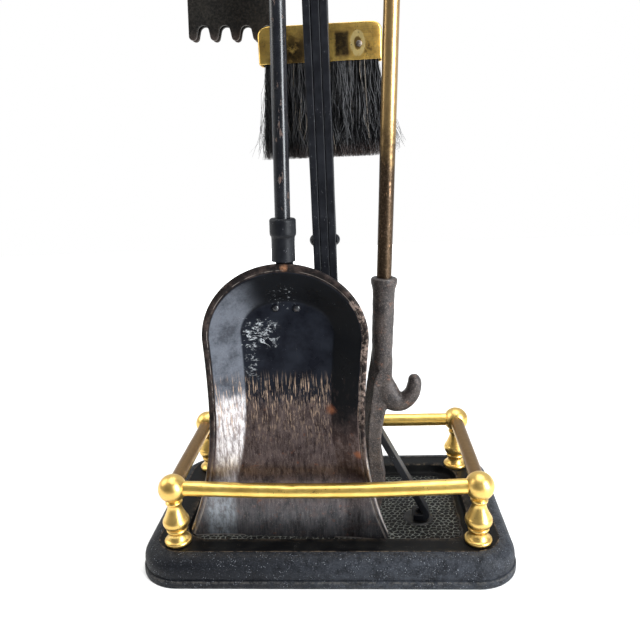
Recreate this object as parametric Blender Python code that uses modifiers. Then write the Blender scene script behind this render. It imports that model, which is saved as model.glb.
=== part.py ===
"""Fireplace tool set: a cast iron tray with a brass gallery rail, a stand of four riveted iron
bars, and a shovel, a poker, a hearth brush and a pair of tongs that hang from its arms.

Metres, +Z up, origin at the middle of the tray's underside, +X to the right, +Y to the back.
Each tool is modelled upright round its own rod, whose foot of reference is the height of the
stand's arms, and an empty then hangs it, slightly askew, from its arm.
"""
from math import atan, cos, pi, radians, sin

import bmesh
import bpy
from mathutils import Euler, Matrix, Vector

MM = 0.001
GAP = 0.3                       # play between touching pieces, in mm like every size below

# Tray
TRAY_LENGTH, TRAY_WIDTH, TRAY_CORNER = 280.0, 165.7, 31.5
LIP_HEIGHT, LIP_STEP = 5.7, 1.2
RIM_HEIGHT, RIM_ROUND = 22.3, 11.0
PAN_LENGTH, PAN_WIDTH, PAN_CORNER, PAN_SHIFT = 218.0, 110.0, 20.0, 1.0
PAN_FLOOR, UNDERSIDE, WALL = 14.0, 9.0, 6.0
PAD_HEIGHT = 1.0

# Gallery rail
RAIL_X, RAIL_FRONT, RAIL_REAR, RAIL_HEIGHT = 111.2, -57.9, 54.1, 67.3
BALL_RADIUS, RAIL_RADIUS, RAIL_END, RAIL_SAG = 10.4, 5.4, 5.6, 3.0
STUD_RADIUS = 2.4

# Stand
POST_X, POST_Y, POST_TOP = 6.0, -15.0, 683.4
BAR_THICK, BAR_DEPTH, CORE_WIDTH, CORE_THICK, CORE_GAP = 5.0, 14.0, 5.6, 4.4, 2.4
SPLAY_HEIGHT, LEG_REACH_SIDE, LEG_REACH_FRONT, LEG_REACH_REAR = 150.0, 73.0, 22.0, 44.0
FOOT_LENGTH, FOOT_BOTTOM, SCREW_INSET = 11.5, PAN_FLOOR + PAD_HEIGHT + GAP, 7.2
RIVET_HEIGHTS, RIVET_RADIUS = (240.0, 560.0), 2.1
ARM_LEVEL, ARM_RADIUS, ARM_DROP, ARM_RISE = 690.0, 3.5, 2.0, 14.0
CROOK_RADIUS, WIRE_RADIUS, ROD_RADIUS = 14.0, 3.5, 5.2

# Where each rod's axis crosses the arms' level, its lean (mm sideways and back per mm of
# height), and on which side of the arm the rod hangs
TOOLS = {
    "shovel": ((-5.6, -37.0), (0.034, 0.009), 1),
    "poker": ((67.7, -21.0), (0.0432, 0.0150), 1),
    "brush": ((6.4, 22.0), (0.0, 0.0), -1),
    "tongs": ((-40.5, 40.0), (0.052, 0.0), 1),
}

# Tools: heights below the arms' level unless said otherwise
GRIP_TOP, GRIP_BOTTOM, GRIP_RADIUS = -45.0, -125.0, 9.0
BLADE_TOP, BLADE_SHOULDER, BLADE_WAIST, BLADE_TIP = -461.4, -515.0, -572.0, -672.0
BLADE_HALF, WAIST_HALF, TIP_HALF = 58.5, 56.4, 73.4
BLADE_RIM, BLADE_DEPTH, TIP_DEPTH, SHEET = -6.0, 15.0, 2.0, 1.6
RIVET_DROP, RIVET_SPACING = 495.8, 15.0
SOCKET_TOP, SOCKET_BOTTOM = -431.5, -460.4
POKER_TOP, POKER_TIP = -476.5, -660.0
FERRULE_WIDTH, FERRULE_DEPTH, FERRULE_TOP, FERRULE_BOTTOM = 87.6, 16.0, -303.4, -328.2
BRISTLE_END = -394.5
JAW_WIDTH, JAW_THICK, JAW_TIP, JAW_TOP = 69.6, 3.0, -308.0, -240.0
TEETH, TOOTH_PITCH, TOOTH_LENGTH = 5, 15.9, 10.4
JAW_SPREAD, PIVOT_DROP, LUG_THICK = 2.6, 148.0, 4.0


# ---------------------------------------------------------------- scene and helpers
def clear_scene():
    for obj in list(bpy.data.objects):
        bpy.data.objects.remove(obj, do_unlink=True)


def make_material(name, rgb, roughness, metallic):
    mat = bpy.data.materials.new(name)
    mat.use_nodes = True
    shader = mat.node_tree.nodes["Principled BSDF"]
    shader.inputs["Base Color"].default_value = (*rgb, 1.0)
    shader.inputs["Roughness"].default_value = roughness
    shader.inputs["Metallic"].default_value = metallic
    return mat


def make_collection(name):
    group = bpy.data.collections.new(name)
    bpy.context.scene.collection.children.link(group)
    return group


def mesh_from(bm, name, material=None, group=None):
    """Put a bmesh, drawn in millimetres, into a new object in metres."""
    bmesh.ops.scale(bm, vec=(MM, MM, MM), verts=bm.verts)
    bmesh.ops.recalc_face_normals(bm, faces=bm.faces)
    mesh = bpy.data.meshes.new(name)
    bm.to_mesh(mesh)
    bm.free()
    mesh.shade_smooth()
    mesh.set_sharp_from_angle(angle=radians(35))
    obj = bpy.data.objects.new(name, mesh)
    if material:
        mesh.materials.append(material)
    (group or PARTS).objects.link(obj)
    return obj


def weld_curve(obj, material, group):
    """Turn a curve with caps into one closed mesh and remove the curve."""
    bpy.context.view_layer.update()
    evaluated = obj.evaluated_get(bpy.context.evaluated_depsgraph_get())
    mesh = bpy.data.meshes.new_from_object(evaluated)
    name, world = obj.name, obj.matrix_world.copy()
    bpy.data.objects.remove(obj, do_unlink=True)
    mesh.materials.clear()
    bm = bmesh.new()
    bm.from_mesh(mesh)
    bmesh.ops.remove_doubles(bm, verts=bm.verts, dist=0.00001)
    bmesh.ops.recalc_face_normals(bm, faces=bm.faces)
    bm.to_mesh(mesh)
    bm.free()
    mesh.shade_smooth()
    mesh.set_sharp_from_angle(angle=radians(35))
    if material:
        mesh.materials.append(material)
    solid = bpy.data.objects.new(name, mesh)
    solid.matrix_world = world
    (group or PARTS).objects.link(solid)
    return solid


def rod(name, points, radius, material=None, radii=None, sides=3, group=None):
    """A round rod along points; radii scales it point by point."""
    curve = bpy.data.curves.new(name, "CURVE")
    curve.dimensions = "3D"
    curve.bevel_depth = radius * MM
    curve.bevel_resolution = sides
    curve.use_fill_caps = True
    spline = curve.splines.new("POLY")
    spline.points.add(len(points) - 1)
    for i, point in enumerate(points):
        spline.points[i].co = (*(Vector(point) * MM), 1.0)
        spline.points[i].radius = radii[i] if radii else 1.0
    obj = bpy.data.objects.new(name, curve)
    (group or PARTS).objects.link(obj)
    return weld_curve(obj, material, group)


PLANES = {
    "XZ": Matrix(((1, 0, 0), (0, 0, -1), (0, 1, 0))).to_4x4(),
    "YZ": Matrix(((0, 0, 1), (1, 0, 0), (0, 1, 0))).to_4x4(),
}


def plate(name, outline, thickness, plane, material=None, offset=(0, 0, 0), group=None):
    """A flat outline in a plane, thickened evenly to both sides of it."""
    curve = bpy.data.curves.new(name, "CURVE")
    curve.dimensions = "2D"
    curve.fill_mode = "BOTH"
    curve.extrude = thickness / 2 * MM
    spline = curve.splines.new("POLY")
    spline.points.add(len(outline) - 1)
    spline.use_cyclic_u = True
    for i, (u, v) in enumerate(outline):
        spline.points[i].co = (u * MM, v * MM, 0.0, 1.0)
    obj = bpy.data.objects.new(name, curve)
    obj.matrix_world = Matrix.Translation(Vector(offset) * MM) @ PLANES[plane]
    (group or PARTS).objects.link(obj)
    return weld_curve(obj, material, group)


def turned(name, profile, material=None, steps=24, closed=False, group=None):
    """Turn a profile of (radius, height), listed down its outer side, about Z."""
    bm = bmesh.new()
    verts = [bm.verts.new((r, 0, z)) for r, z in profile]
    loop = verts + verts[:1] if closed else verts
    for a, b in zip(loop, loop[1:]):
        bm.edges.new((a, b))
    obj = mesh_from(bm, name, material, group)
    screw = obj.modifiers.new("Turn", "SCREW")
    screw.steps = screw.render_steps = steps
    screw.use_merge_vertices = True
    screw.merge_threshold = 0.00001
    screw.use_smooth_shade = True
    return obj


def cylinder(name, radius, start, end, material=None, segments=16, group=None):
    start, end = Vector(start), Vector(end)
    bm = bmesh.new()
    bmesh.ops.create_cone(bm, cap_ends=True, segments=segments, radius1=radius,
                          radius2=radius, depth=(end - start).length)
    turn = (end - start).to_track_quat("Z", "Y").to_matrix().to_4x4()
    bmesh.ops.transform(bm, matrix=Matrix.Translation((start + end) / 2) @ turn, verts=bm.verts)
    return mesh_from(bm, name, material, group)


def slab(name, size, corner, z0, z1, middle=(0, 0), top_round=0.0, material=None, group=None):
    """A rounded rectangle from z0 to z1, its top edge rounded off if asked."""
    bm = bmesh.new()
    bmesh.ops.create_cube(bm, size=1.0)
    bmesh.ops.scale(bm, vec=(size[0], size[1], z1 - z0), verts=bm.verts)
    bmesh.ops.translate(bm, vec=(middle[0], middle[1], (z0 + z1) / 2), verts=bm.verts)
    upright = [e for e in bm.edges if abs(e.verts[0].co.z - e.verts[1].co.z) > 0.1]
    bmesh.ops.bevel(bm, geom=upright, offset=corner, segments=6, profile=0.5, affect="EDGES")
    if top_round:
        top = [e for e in bm.edges if min(v.co.z for v in e.verts) > z1 - 0.01]
        bmesh.ops.bevel(bm, geom=top, offset=top_round, segments=3, profile=0.5, affect="EDGES")
    return mesh_from(bm, name, material, group)


def combine(target, tool, operation="DIFFERENCE", solver="EXACT"):
    """Add a Boolean with a hidden tool object."""
    if tool.name not in CUTTERS.objects:
        for group in list(tool.users_collection):
            group.objects.unlink(tool)
        CUTTERS.objects.link(tool)
    tool.hide_render = True
    tool.display_type = "WIRE"
    modifier = target.modifiers.new(operation.title(), "BOOLEAN")
    modifier.operation = operation
    modifier.object = tool
    modifier.solver = solver


def round_edges(obj, width, segments=1, angle=40):
    modifier = obj.modifiers.new("Soft edges", "BEVEL")
    modifier.width = width * MM
    modifier.segments = segments
    modifier.limit_method = "ANGLE"
    modifier.angle_limit = radians(angle)


def smooth_step(t):
    t = min(max(t, 0.0), 1.0)
    return t * t * (3 - 2 * t)


def arc(centre, radius, start, end, steps):
    """Points of a circle from one angle to another, in degrees."""
    angles = [radians(start + (end - start) * i / steps) for i in range(steps + 1)]
    return [(centre[0] + radius * cos(a), centre[1] + radius * sin(a)) for a in angles]


def strap_outline(path, thickness):
    """The outline of a strap of even thickness along a flat path."""
    left, right = [], []
    for i, (x, y) in enumerate(path):
        before = Vector(path[i]) - Vector(path[max(i - 1, 0)])
        after = Vector(path[min(i + 1, len(path) - 1)]) - Vector(path[i])
        before = (before if before.length else after).normalized()
        after = (after if after.length else before).normalized()
        normal = Vector((-before.y - after.y, before.x + after.x)).normalized()
        half = thickness / 2 / max(normal.dot(Vector((-after.y, after.x))), 0.5)
        left.append((x + normal.x * half, y + normal.y * half))
        right.append((x - normal.x * half, y - normal.y * half))
    return left + right[::-1]


# ---------------------------------------------------------------- tray and gallery
def build_tray():
    size = (TRAY_LENGTH, TRAY_WIDTH)
    upper = (TRAY_LENGTH - 2 * LIP_STEP, TRAY_WIDTH - 2 * LIP_STEP)
    tray = slab("tray_casting", size, TRAY_CORNER, 0, LIP_HEIGHT, material=IRON)
    crown = slab("crown", upper, TRAY_CORNER - LIP_STEP, 1.0, RIM_HEIGHT, top_round=RIM_ROUND)
    combine(tray, crown, "UNION")
    pan = slab("pan_cut", (PAN_LENGTH, PAN_WIDTH), PAN_CORNER, PAN_FLOOR, 40, (0, PAN_SHIFT))
    combine(tray, pan)
    hollow = (TRAY_LENGTH - 2 * WALL, TRAY_WIDTH - 2 * WALL)
    combine(tray, slab("hollow_cut", hollow, TRAY_CORNER - WALL, -5, UNDERSIDE))
    top = PAN_FLOOR + PAD_HEIGHT
    for name, (dx, dy) in FEET.items():
        pad = turned("pad_" + name, [(0, top), (10, top), (11, top - 3), (0, top - 3)], steps=16)
        pad.location = Vector((POST_X + dx, POST_Y + dy, 0)) * MM
        combine(tray, pad, "UNION", "MANIFOLD")
        hole = cylinder("foot_hole_" + name, 1.9, (0, 0, 0), (0, 0, 20), segments=8)
        hole.location = pad.location
        combine(tray, hole, solver="MANIFOLD")
    for name, (x, y) in GALLERY.items():
        hole = cylinder("stud_hole_" + name, STUD_RADIUS + GAP, (x, y, 0), (x, y, 30), segments=8)
        combine(tray, hole, solver="MANIFOLD")
    return tray


BALUSTER = [  # (radius, height) from the tenon in the ball down to the stud's end
    (0, 61.5), (2.8, 61.5), (2.8, 57.3), (5.6, 57.0), (6.1, 55.6), (5.1, 53.6), (5.2, 50.2),
    (8.4, 45.2), (9.8, 40.2), (8.8, 36.6), (7.1, 33.4), (6.2, 30.2), (9.4, 27.2), (10.0, 25.2),
    (9.4, RIM_HEIGHT + GAP), (STUD_RADIUS, RIM_HEIGHT + GAP), (STUD_RADIUS, 2.0), (0, 2.0),
]


def build_gallery():
    reach = BALL_RADIUS + 1
    for name, (x, y) in GALLERY.items():
        inward = (-1 if x > 0 else 1, 1 if y < 0 else -1)
        turned("baluster_" + name, BALUSTER, BRASS, steps=16).location = (x * MM, y * MM, 0)

        bm = bmesh.new()
        bmesh.ops.create_uvsphere(bm, u_segments=16, v_segments=10, radius=BALL_RADIUS)
        ball = mesh_from(bm, "ball_" + name, BRASS)
        ball.location = (x * MM, y * MM, RAIL_HEIGHT * MM)
        hole = RAIL_RADIUS + GAP
        start = RAIL_END - GAP
        cuts = [
            cylinder("cut", hole, (inward[0] * start, 0, 0), (inward[0] * reach, 0, 0), segments=12),
            cylinder("cut", hole, (0, inward[1] * start, 0), (0, inward[1] * reach, 0), segments=12),
            cylinder("cut", 3.1, (0, 0, -reach), (0, 0, 61.8 - RAIL_HEIGHT), segments=8),
        ]
        for cut in cuts:
            cut.location = ball.location
            combine(ball, cut)

        nut = cylinder("gallery_nut_" + name, 5.0, (x, y, 5.0), (x, y, UNDERSIDE - GAP), STEEL, 6)
        bore = cylinder("cut", STUD_RADIUS + GAP, (x, y, 0), (x, y, 20), segments=12)
        combine(nut, bore)

    ends = RAIL_X - RAIL_END
    for name, y, sag in (("front", RAIL_FRONT, RAIL_SAG), ("rear", RAIL_REAR, 0.0)):
        steps = 10 if sag else 1
        xs = [-ends + 2 * ends * i / steps for i in range(steps + 1)]
        line = [(x, y, RAIL_HEIGHT - sag * cos(x / ends * pi / 2)) for x in xs]
        rod("rail_" + name, line, RAIL_RADIUS, BRASS, sides=4)
    for name, x in (("left", -RAIL_X), ("right", RAIL_X)):
        line = [(x, RAIL_FRONT + RAIL_END, RAIL_HEIGHT), (x, RAIL_REAR - RAIL_END, RAIL_HEIGHT)]
        rod("rail_" + name, line, RAIL_RADIUS, BRASS, sides=4)


# ---------------------------------------------------------------- stand
def bar_path(start, reach, thickness):
    """Middle line of a bar in the plane it bends in: down the post, out and into its foot."""
    bottom = FOOT_BOTTOM + thickness / 2
    leg = Vector((reach - start, bottom - SPLAY_HEIGHT)).normalized()
    bend = [(start, SPLAY_HEIGHT + 12), (start - 0.25 * leg.x * leg.y * 12, SPLAY_HEIGHT + 3),
            (start + leg.x * 9, SPLAY_HEIGHT + leg.y * 9)]
    heel = (reach - leg.x * 3, bottom - leg.y * 3)
    return [(start, POST_TOP)] + bend + [heel, (reach - 2.5, bottom), (reach - FOOT_LENGTH, bottom)]


def build_stand():
    sides = {"left": (-1, LEG_REACH_SIDE), "right": (1, LEG_REACH_SIDE)}
    cores = {"front": (-1, LEG_REACH_FRONT), "rear": (1, LEG_REACH_REAR)}
    bars = {}
    side_start = CORE_WIDTH / 2 + GAP + BAR_THICK / 2
    core_start = CORE_GAP + CORE_THICK / 2
    for name, (sign, reach) in sides.items():
        path = bar_path(side_start, reach, BAR_THICK)
        outline = [(sign * u, v) for u, v in strap_outline(path, BAR_THICK)]
        bars[name] = plate("bar_" + name, outline, BAR_DEPTH, "XZ", BLACK, (POST_X, POST_Y, 0))
    for name, (sign, reach) in cores.items():
        path = bar_path(core_start, reach, CORE_THICK)
        outline = [(sign * u, v) for u, v in strap_outline(path, CORE_THICK)]
        bars[name] = plate("bar_" + name, outline, CORE_WIDTH, "YZ", BLACK, (POST_X, POST_Y, 0))
    reach = side_start + BAR_THICK / 2
    for i, height in enumerate(RIVET_HEIGHTS):
        name = ("lower", "upper")[i]
        for side in ("left", "right"):
            combine(bars[side], cylinder("cut", RIVET_RADIUS + GAP, (POST_X - 20, POST_Y, height),
                                         (POST_X + 20, POST_Y, height), segments=12))
        head = [(0, reach + 2.6), (1.6, reach + 2.4), (2.9, reach + 1.6), (3.6, reach + GAP)]
        shank = [(RIVET_RADIUS, reach + GAP), (RIVET_RADIUS, -reach - GAP)]
        tail = [(r, -z) for r, z in reversed(head)]
        rivet = turned("post_rivet_" + name, head + shank + tail, BLACK, steps=12)
        rivet.location = Vector((POST_X, POST_Y, height)) * MM
        rivet.rotation_euler = (0, pi / 2, 0)
    for name, (dx, dy) in FEET.items():
        top = FOOT_BOTTOM + (CORE_THICK if name in cores else BAR_THICK) + GAP
        hole = cylinder("cut", 1.9, (POST_X + dx, POST_Y + dy, 5), (POST_X + dx, POST_Y + dy, 30),
                        segments=12)
        combine(bars[name], hole)
        profile = [(0, top + 1.7), (1.3, top + 1.5), (2.3, top), (1.6, top), (1.6, 5.0), (0, 5.0)]
        screw = turned("foot_screw_" + name, profile, STEEL, steps=12)
        screw.location = (((POST_X + dx) * MM), (POST_Y + dy) * MM, 0)


def arm_seats():
    """For each tool: the direction of its arm, the seat's distance, and the seat itself."""
    seats = {}
    for name, (axis, _lean, side) in TOOLS.items():
        to_rod = Vector(axis) - Vector((POST_X, POST_Y))
        reach = (to_rod.length ** 2 - CROOK_RADIUS ** 2) ** 0.5
        turn = Matrix.Rotation(side * atan(CROOK_RADIUS / reach), 2)
        direction = (turn @ to_rod).normalized()
        seats[name] = (direction, reach, Vector((POST_X, POST_Y)) + direction * reach)
    return seats


def build_head():
    """The brass hub on top of the post, its four arms and its finial."""
    low, mid, high = POST_TOP - 15.4, POST_TOP + 0.9, POST_TOP + 22.6
    level = ARM_LEVEL + ARM_DROP
    profile = [(0, high), (5.0, high), (9.2, high - 1.5), (11.3, level + 6), (11.3, level - 5),
               (12.6, mid - 1), (13.0, mid - 4), (13.0, low + 2), (12.0, low), (0, low)]
    hub = turned("hub", profile, BRASS, steps=20)
    hub.location = (POST_X * MM, POST_Y * MM, 0)
    width = CORE_WIDTH + 2 * BAR_THICK + 4 * GAP
    combine(hub, slab("post_socket", (width, BAR_DEPTH + 2 * GAP), 0.4, low - 5, mid - 0.6,
                      (POST_X, POST_Y)))
    for name, (direction, reach, _seat) in arm_seats().items():
        line = [(7.0, level)]
        for i in range(6):
            t = i / 5
            line.append((12.2 + (reach - 16.6) * t, ARM_LEVEL + ARM_DROP * (1 - smooth_step(t))))
        line += arc((reach + 1, ARM_LEVEL + ARM_RISE), ARM_RISE, -90, -10, 6)
        line.append((line[-1][0] + 0.8, line[-1][1] + 3.5))
        points = [(POST_X + s * direction.x, POST_Y + s * direction.y, z) for s, z in line]
        rod("arm_" + name, points, ARM_RADIUS, BLACK, sides=2)
        start, end = (Vector((POST_X + s * direction.x, POST_Y + s * direction.y, level))
                      for s in (7.0 - GAP, 20.0))
        combine(hub, cylinder("cut", ARM_RADIUS + GAP, start, end, segments=12))
    foot = high + GAP
    profile = [(0, foot + 58), (1.6, foot + 57), (2.6, foot + 54.5), (2.2, foot + 52), (4.5, foot + 50.4)]
    profile += arc((0, foot + 40), 11.5, 60, -62, 6)
    profile += [(4.4, foot + 26), (5.2, foot + 20), (8.6, foot + 13), (7.6, foot + 8),
                (5.4, foot + 4.6), (7.4, foot + 1.4), (7.4, foot), (0, foot)]
    finial = turned("finial", profile, BRASS, steps=16)
    finial.location = (POST_X * MM, POST_Y * MM, 0)


# ---------------------------------------------------------------- tools
def hang(name):
    """The empty that carries a tool: its origin on the rod's axis at the arms' level."""
    _axis, lean, side = TOOLS[name]
    direction, _reach, seat = arm_seats()[name]
    towards_arm = Vector((-direction.y, direction.x)) * side
    tilt = Euler((-atan(lean[1]), atan(lean[0]), 0))
    empty = bpy.data.objects.new(name + "_hanger", None)
    offset = tilt.to_matrix() @ Vector((*(-towards_arm * CROOK_RADIUS), 0))
    empty.location = (Vector((*seat, ARM_LEVEL)) + offset) * MM
    empty.rotation_euler = tilt
    PARTS.objects.link(empty)
    return empty, towards_arm


def carry(empty, pieces):
    for piece in pieces:
        piece.parent = empty


def crooked_rod(name, towards_arm, bottom):
    """A rod that ends at the top in a crook over the arm."""
    centre = ARM_RADIUS + WIRE_RADIUS + GAP - CROOK_RADIUS
    line = [(CROOK_RADIUS + CROOK_RADIUS * cos(radians(a)), centre + CROOK_RADIUS * sin(radians(a)))
            for a in range(0, 181, 20)]
    line = [(2 * CROOK_RADIUS + 1.5, centre - 9), (2 * CROOK_RADIUS, centre - 4)] + line
    line += [(0, GRIP_TOP + 6), (0, GRIP_TOP - 4), (0, bottom)]
    slim = WIRE_RADIUS / ROD_RADIUS
    radii = [slim * 0.8] + [slim] * (len(line) - 3) + [1.0, 1.0]
    points = [(s * towards_arm.x, s * towards_arm.y, z) for s, z in line]
    return rod(name + "_rod", points, ROD_RADIUS, BRASS if name == "poker" else BLACK, radii)


def grip(name):
    """A turned brass grip, bored for the rod."""
    top, low, bore = GRIP_TOP - 5, GRIP_BOTTOM, ROD_RADIUS + GAP
    length = top - low
    profile = [(bore, top), (7.2, top), (8.2, top - 3), (7.0, top - 6), (8.0, top - 9)]
    for i in range(1, 4):
        t = i / 4
        profile.append((6.9 + (GRIP_RADIUS - 6.9) * sin(pi * t), top - 9 - t * (length - 21)))
    profile += [(8.0, low + 12), (6.9, low + 9), (8.4, low + 4), (6.6, low), (bore, low)]
    return turned(name + "_grip", profile, BRASS, steps=14, closed=True)


def blade_half(z):
    """Half the blade's width at a height below its shoulder."""
    if z > BLADE_WAIST:
        t = (z - BLADE_WAIST) / (BLADE_SHOULDER - BLADE_WAIST)
        return WAIST_HALF + (BLADE_HALF - WAIST_HALF) * t * t
    t = (BLADE_WAIST - z) / (BLADE_WAIST - BLADE_TIP - 8)
    return WAIST_HALF + (TIP_HALF - WAIST_HALF) * t * t


def blade_loop(inset, sides=8, crown=6):
    """Points from the left of the tip, round the arched top, to the right, some way inside."""
    tip = BLADE_TIP + 8 * max(0.0, 1 - inset / 8) ** 2
    half = []
    for i in range(sides):
        z = tip + (BLADE_SHOULDER - tip) * i / sides
        half.append((blade_half(z) - inset, z))
    for i in range(crown + 1):
        a = pi / 2 * i / crown
        half.append(((BLADE_HALF - inset) * cos(a),
                     BLADE_SHOULDER + (BLADE_TOP - BLADE_SHOULDER - 1.2 * inset) * sin(a)))
    return [(-x, z) for x, z in half] + [(x, z) for x, z in reversed(half[:-1])]


def blade_depth(z):
    return TIP_DEPTH + (BLADE_DEPTH - TIP_DEPTH) * smooth_step((z - BLADE_TIP) / 125)


def build_blade():
    """A dished sheet with a rolled rim: nested U-shaped loops of one open surface, thickened."""
    # (inset, share of the dish's depth, fold back of the rolled rim)
    rings = [(0.0, 0.0, 3.2), (0.7, 0.0, 0.9), (2.4, 0.0, 0.0), (4.6, 0.03, 0.6), (9.0, 0.25, 0.0),
             (15.0, 0.72, 0.0), (20.5, 0.97, 0.0), (26.0, 1.0, 0.0), (40.0, 1.0, 0.0)]
    bm = bmesh.new()
    loops = []
    for inset, share, fold in rings:
        loops.append([bm.verts.new((x, BLADE_RIM + share * blade_depth(z) + fold, z))
                      for x, z in blade_loop(inset)])
    for outer, inner in zip(loops, loops[1:]):
        for i in range(len(outer) - 1):
            bm.faces.new((outer[i], inner[i], inner[i + 1], outer[i + 1]))
    last = loops[-1]
    count = len(last) - 1
    for i in range(count // 2):
        corners = [last[i], last[count - i], last[count - i - 1], last[i + 1]]
        bm.faces.new(corners if len(set(corners)) == 4 else corners[:3])
    blade = mesh_from(bm, "shovel_blade", BLACK)
    if blade.data.polygons[len(blade.data.polygons) // 2].normal.y > 0:
        blade.data.flip_normals()
    shell = blade.modifiers.new("Sheet", "SOLIDIFY")
    shell.thickness = SHEET * MM
    shell.offset = -1
    shell.use_even_offset = True
    return blade


def build_shovel():
    empty, towards_arm = hang("shovel")
    blade = build_blade()
    bore = ROD_RADIUS + GAP
    profile = [(0, SOCKET_BOTTOM + 3), (bore, SOCKET_BOTTOM + 3), (bore, SOCKET_TOP), (8.2, SOCKET_TOP),
               (8.9, SOCKET_TOP - 1.5), (8.9, SOCKET_TOP - 10.5), (7.9, SOCKET_TOP - 12.5),
               (7.6, SOCKET_BOTTOM + 2), (7.2, SOCKET_BOTTOM), (0, SOCKET_BOTTOM)]
    socket = turned("shovel_socket", profile, BLACK, steps=20)
    back = BLADE_RIM + BLADE_DEPTH + SHEET + GAP + 1.5
    path = [(3.0, SOCKET_BOTTOM + 1.5), (4.5, SOCKET_BOTTOM - 5), (back - 0.6, BLADE_TOP - 20),
            (back, BLADE_TOP - 25), (back, BLADE_TOP - 42)]
    tang = plate("tang", strap_outline(path, 2.6), 12, "YZ")
    path = [(back - 0.1, BLADE_TOP - 22), (back, BLADE_TOP - 28), (back, BLADE_TOP - 41.5)]
    tang_foot = plate("tang_foot", strap_outline(path, 2.3), 24, "YZ")
    for piece in (tang, tang_foot):
        combine(socket, piece, "UNION")
    pin_height = SOCKET_BOTTOM + 8.5
    pieces = [blade, socket, tang, tang_foot, grip("shovel")]
    shaft = crooked_rod("shovel", towards_arm, SOCKET_BOTTOM + 3 + GAP)
    for target in (socket, shaft):
        cut = cylinder("cut", 1.8, (0, -20, pin_height), (0, 20, pin_height), segments=10)
        combine(target, cut)
        pieces.append(cut)
    pieces += [shaft, cylinder("shovel_pin", 1.5, (0, -7.8, pin_height), (0, 7.8, pin_height), STEEL, 10)]
    face = BLADE_RIM + BLADE_DEPTH
    for name, x in (("left", -RIVET_SPACING / 2), ("right", RIVET_SPACING / 2)):
        for target in (blade, socket):
            cut = cylinder("cut", 1.9, (x, -20, -RIVET_DROP), (x, 30, -RIVET_DROP), segments=10)
            combine(target, cut)
            pieces.append(cut)
        rear = back + 1.3 + GAP
        profile = [(0, -face + 1.7), (1.5, -face + 1.5), (2.8, -face + GAP), (1.5, -face + GAP),
                   (1.5, -rear), (2.6, -rear), (1.6, -rear - 1.2), (0, -rear - 1.4)]
        rivet = turned("shovel_rivet_" + name, profile, STEEL, steps=10)
        rivet.location = Vector((x, 0, -RIVET_DROP)) * MM
        rivet.rotation_euler = (pi / 2, 0, 0)
        pieces.append(rivet)
    carry(empty, pieces)


def poker_outline():
    """The flat lower part of the poker's head: a bowed blade and a hook that curls up."""
    right = [(7.4, -526), (7.6, -540), (9.0, -549)]
    hook = [(10.5, -556), (12.5, -560.5), (15.6, -560.0), (18.0, -555.0), (20.2, -548.6)]
    tip = [(22.4, -546.4), (25.0, -547.6), (27.6, -552.0), (28.0, -558.0), (25.6, -565.0)]
    belly = [(20.0, -571.5), (12.0, -576.0), (5.5, -580.0), (1.6, -590.0), (1.4, -602.0),
             (3.4, -615.0), (5.4, -628.0), (4.6, -642.0), (2.2, -654.0), (0.4, POKER_TIP)]
    left = [(-2.4, -654.0), (-6.8, -642.0), (-10.6, -627.0), (-12.6, -610.0), (-12.4, -592.0),
            (-10.8, -574.0), (-9.6, -556.0), (-8.0, -540.0), (-7.4, -526)]
    return right + hook + tip + belly + left


def build_poker():
    empty, towards_arm = hang("poker")
    bore = ROD_RADIUS + GAP
    depth = 30.0
    profile = [(0, POKER_TOP - depth), (bore, POKER_TOP - depth), (bore, POKER_TOP), (8.6, POKER_TOP),
               (9.2, POKER_TOP - 1.5), (9.2, POKER_TOP - 6), (7.9, POKER_TOP - 9), (7.7, POKER_TOP - 40),
               (7.4, POKER_TOP - 52), (5.0, POKER_TOP - 62), (0, POKER_TOP - 64)]
    head = turned("poker_head", profile, RUST, steps=16)
    flat = plate("poker_flat", poker_outline(), 11.0, "XZ")
    round_edges(flat, 2.2, 1)
    combine(head, flat, "UNION")
    shaft = crooked_rod("poker", towards_arm, POKER_TOP - depth + GAP)
    pieces = [head, flat, shaft, grip("poker")]
    height = POKER_TOP - 12
    for target in (head, shaft):
        cut = cylinder("cut", 1.8, (-20, 0, height), (20, 0, height), segments=10)
        combine(target, cut)
        pieces.append(cut)
    pieces.append(cylinder("poker_pin", 1.5, (-7.7, 0, height), (7.7, 0, height), STEEL, 10))
    carry(empty, pieces)


def tombstone(width, bottom, top, corner):
    """A rectangle whose two upper corners are rounded."""
    half = width / 2
    outline = [(-half, bottom), (half, bottom)]
    outline += arc((half - corner, top - corner), corner, 0, 90, 5)
    outline += arc((-half + corner, top - corner), corner, 90, 180, 5)
    return outline


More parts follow.
